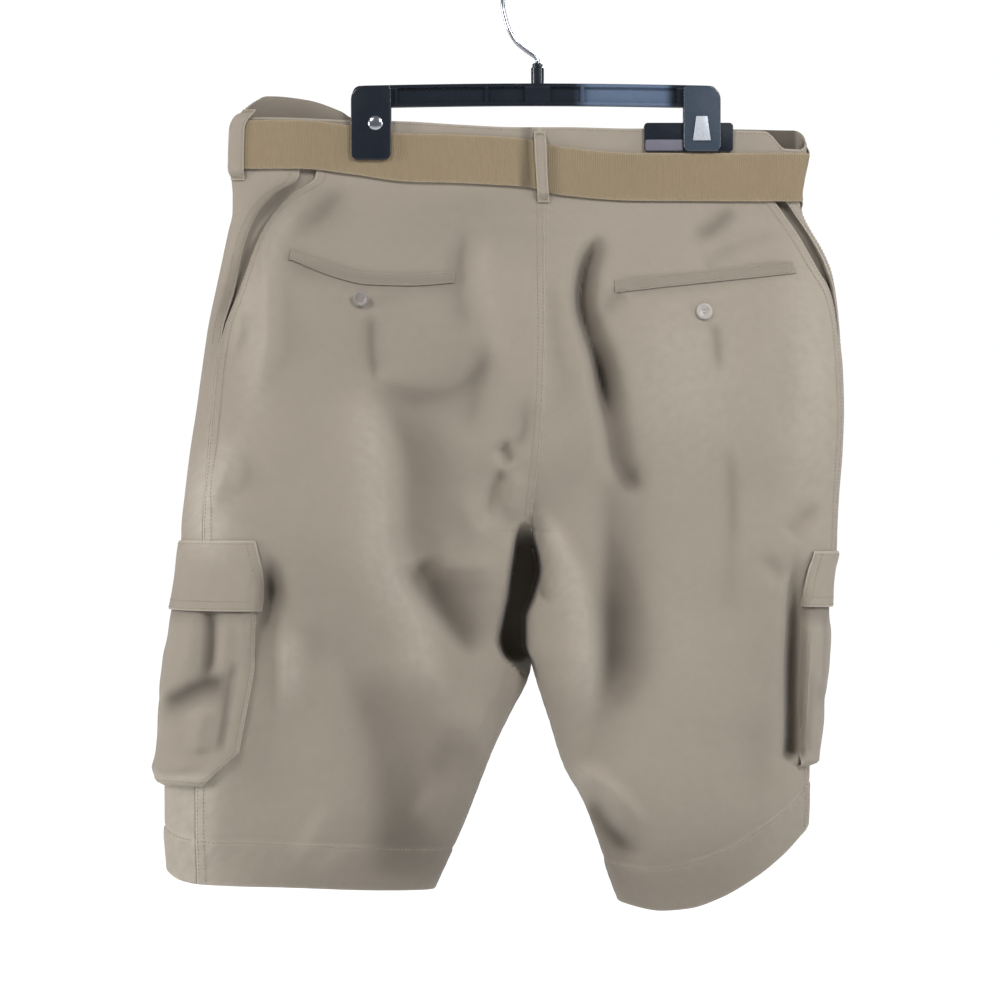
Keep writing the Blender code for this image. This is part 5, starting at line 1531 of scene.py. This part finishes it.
# The hook's wire below its turn: x, z
HOOK_LEAN = [
    (0.0, SEAM_GAP - STUB_TOP), (0.0, -73.5), (-2.0, -70.6), (-9.0, -65.6), (-17.0, -59.0),
    (-22.6, -50.0), (-26.4, -40.6),
]
RIVET_SHAPE = [(0, 1.7), (1.9, 1.65), (3.8, 1.35), (5.2, 0.8), (6.0, 0.25), (6.1, 0.0), (0, 0)]


def hanger_hook():
    """The wire hook: a lean out of the stub, then round over the rail."""
    centre = HOOK_WIRE - HOOK_RADIUS
    angles = np.radians(np.linspace(192, HOOK_END, 60))
    turn = zip(HOOK_RADIUS * np.cos(angles), centre + HOOK_RADIUS * np.sin(angles))
    curve = bpy.data.curves.new("hanger_hook_wire", "CURVE")
    curve.dimensions = "3D"
    curve.bevel_depth = HOOK_WIRE * MM
    curve.bevel_resolution = 5
    curve.use_fill_caps = True
    spline = curve.splines.new("POLY")
    points = bent_line(HOOK_LEAN, 5)[:-1].tolist() + list(turn)
    spline.points.add(len(points) - 1)
    for point, (x, z) in zip(spline.points, points):
        point.co = (x * MM, 0, z * MM, 1)
    holder = bpy.data.objects.new("hook_path", curve)
    bpy.context.scene.collection.objects.link(holder)
    finished = holder.evaluated_get(bpy.context.evaluated_depsgraph_get())
    mesh = bpy.data.meshes.new_from_object(finished)
    bpy.data.objects.remove(holder)
    shown(mesh_object("hanger_hook_wire", mesh, STEEL, 60), ["hanger_hook"])


def clip(side):
    """A clip: two moulded jaws over the bar's end, a bridge between them under the bar, and pins or a
    lever.
    """
    (left, right), low = CLIPS[side]["edges"], CLIPS[side]["low"]
    inner, outer = JAW_INSIDE, JAW_INSIDE + JAW_THICK
    jaw = rounded(left, right, -low, -BAR_TOP - 0.4, CLIPS[side]["corners"])
    finish = PLASTIC if side == "left" else PLASTIC_BLUE
    plate(f"clip_{side}_back_jaw", jaw, -outer, -inner, 1.0, finish, [f"clip_{side}"], "black_plastic")
    plate(f"clip_{side}_front_jaw", jaw, inner, outer, 1.0, finish, [], "black_plastic")
    bridge = rounded(left + 1, right - 1, -BAR_BOTTOM - WEB_THICK, -BAR_BOTTOM - SEAM_GAP, (1,) * 4)
    plate(f"clip_{side}_bridge", bridge, -inner - 0.2, inner + 0.2, 0.4, PLASTIC, [], "black_plastic")
    for face, away in (("back", -1), ("front", 1)):
        if (side, face) == ("right", "back"):
            clip_lever(outer)
            continue
        middle = (CLIPS[side]["pin"], away * (outer + 0.02), -BAR_BOTTOM - RIVET_DROP)
        turned(f"clip_{side}_{face}_pin", RIVET_SHAPE, middle, (0, away, 0), STEEL,
               [f"clip_rivet_{side}_{face}"])


def clip_lever(outer):
    """The plated lever that presses the right clip shut."""
    middle, top, low = CLIPS["right"]["pin"], LEVER["top"], LEVER["low"]
    outline = [(middle - LEVER["half_top"], -top), (middle - LEVER["half_low"], -low),
               (middle + LEVER["half_low"], -low), (middle + LEVER["half_top"], -top)]
    plate("clip_right_lever", outline, -outer - LEVER["thick"], -outer - 0.02, 0.5, PLATED,
          ["clip_rivet_right_back"], "bright_steel")


def clip_pad(face):
    """The wide flat pad under the right clip's jaw."""
    left, right = RIGHT_PAD["edges"]
    away = -1 if face == "back" else 1
    near = HALF_PINCH + BAND_RISE + SEAM_GAP
    far = near + PAD_THICK
    outline = rounded(left, right, -RIGHT_PAD["low"], -RIGHT_PAD["high"], (3,) * 4)
    sides = sorted((away * near, away * far))
    plate(f"clip_pad_{face}_moulding", outline, *sides, 0.6, PLASTIC, [f"clip_pad_{face}"],
          "black_plastic")
    left, right = PAD_LIP["edges"]
    lip = rounded(left, right, -PAD_LIP["low"], -PAD_LIP["high"], (1.5,) * 4)
    sides = sorted((away * (far - 0.1), away * (far + PAD_LIP["thick"])))
    plate(f"clip_pad_{face}_lip", lip, *sides, 0.4, PAD_GREY, [], "black_plastic")


def keep_solid(name, material):
    """Give a solid that is shown as it is its finish."""
    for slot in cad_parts[name].material_slots:
        slot.material = material


# ---------------------------------------------------------------- stage

CAMERA_PLACE = (-0.031, -3.0, -0.437)
FRAMED_Y = -0.025
FRAME_WIDTH = 0.82
FLOOR_HALF, FLOOR_LEVEL = 14.0, -1.15
FLOOR_GLOW, WORLD_GLOW, WORLD_LIGHT = 0.97, 1.02, 0.15
# name, place, what it points at, size, watts, colour
LIGHTS = [
    ("key", (-1.25, -1.6, 1.05), (0, 0, -0.42), (0.6, 0.6), 19.0, (1.0, 0.985, 0.96)),
    ("fill", (1.1, -1.35, 0.70), (0.12, 0, -0.36), (0.6, 0.6), 20.0, (0.98, 0.985, 1.0)),
    ("left_rim", (-2.2, -0.45, -0.25), (-0.2, 0, -0.45), (0.5, 0.9), 20.0, (1.0, 1.0, 1.0)),
    ("right_rim", (2.1, -0.6, -0.2), (0.2, 0, -0.4), (0.5, 0.9), 11.0, (1.0, 1.0, 1.0)),
    ("front_fill", (0.8, 2.0, 1.15), (0, 0, -0.45), (0.8, 0.8), 18.0, (1.0, 0.99, 0.97)),
]


def studio_floor():
    """A pale floor far below the hanging shorts."""
    mesh = bpy.data.meshes.new("studio_floor")
    corners = [(x * FLOOR_HALF, y * FLOOR_HALF, FLOOR_LEVEL)
               for x, y in ((-1, -1), (1, -1), (1, 1), (-1, 1))]
    mesh.from_pydata(corners, [], [(0, 1, 2, 3)])
    material = bpy.data.materials.new("pale_floor")
    material.use_nodes = True
    tree = material.node_tree
    shader = tree.nodes["Principled BSDF"]
    shader.inputs["Base Color"].default_value = (0.90, 0.90, 0.90, 1)
    shader.inputs["Roughness"].default_value = 0.9
    shader.inputs["Emission Color"].default_value = (1, 1, 1, 1)
    seen = tree.nodes.new("ShaderNodeLightPath").outputs["Is Camera Ray"]
    feed(tree, shader.inputs["Emission Strength"], maths(tree, "MULTIPLY", seen, FLOOR_GLOW))
    mesh.materials.append(material)
    floor = bpy.data.objects.new("studio_floor", mesh)
    bpy.context.scene.collection.objects.link(floor)


def soft_surroundings():
    """A white background that gives a little light from all round."""
    world = bpy.data.worlds.new("studio")
    bpy.context.scene.world = world
    world.use_nodes = True
    tree = world.node_tree
    background = tree.nodes["Background"]
    seen = tree.nodes.new("ShaderNodeLightPath").outputs["Is Camera Ray"]
    strength = maths(tree, "MULTIPLY_ADD", seen, WORLD_GLOW - WORLD_LIGHT, WORLD_LIGHT)
    background.inputs["Color"].default_value = (1, 1, 1, 1)
    feed(tree, background.inputs["Strength"], strength)


def studio_lights():
    """Soft lamps on both sides of the shorts and one in front of them."""
    for name, spot, target, size, power, colour in LIGHTS:
        data = bpy.data.lights.new(name, "AREA")
        data.shape = "RECTANGLE"
        data.size, data.size_y = size
        data.energy = power
        data.color = colour
        lamp = bpy.data.objects.new(name, data)
        lamp.location = spot
        lamp.rotation_euler = (Vector(target) - Vector(spot)).to_track_quat("-Z", "Y").to_euler()
        bpy.context.scene.collection.objects.link(lamp)


def camera():
    """Level with the seat, square to the back."""
    data = bpy.data.cameras.new("camera")
    data.sensor_width = 36.0
    data.lens = 36.0 * (FRAMED_Y - CAMERA_PLACE[1]) / FRAME_WIDTH
    data.clip_start, data.clip_end = 0.05, 60.0
    made = bpy.data.objects.new("camera", data)
    made.location = CAMERA_PLACE
    made.rotation_euler = (math.pi / 2, 0, 0)
    bpy.context.scene.collection.objects.link(made)
    bpy.context.scene.camera = made
    bpy.context.scene.view_settings.view_transform = "Standard"


# ---------------------------------------------------------------- the whole

camera()
studio_floor()
soft_surroundings()
studio_lights()
for side in SIDES:
    for face in ("back", "front"):
        panel(side, face)
    slant_facing(side)
    for kind in ("side", "inner"):
        seam_allowance(side, kind)
    waistband(side)
    welt(side)
    spot = WELTS[side]["button"]
    button(f"welt_button_{side}", side, place(side, *spot), spot[1], 0.0, 6.7, 2.4,
           WELTS[side]["lean"], WELTS[side]["finish"])
    cargo_pocket(side)
    cargo_flap(side)
    clip(side)
belt()
for name, turn in LOOPS.items():
    belt_loop(f"belt_loop_{name}", turn)
button("waist_button", "left", 0.988, 150.0, BAND_RISE, 7.5, 2.3)
fly_placket()
hanger_bar()
hanger_hook()
for face in ("back", "front"):
    clip_pad(face)
for name in ("belt_buckle", "belt_tip"):
    keep_solid(name, BRASS)
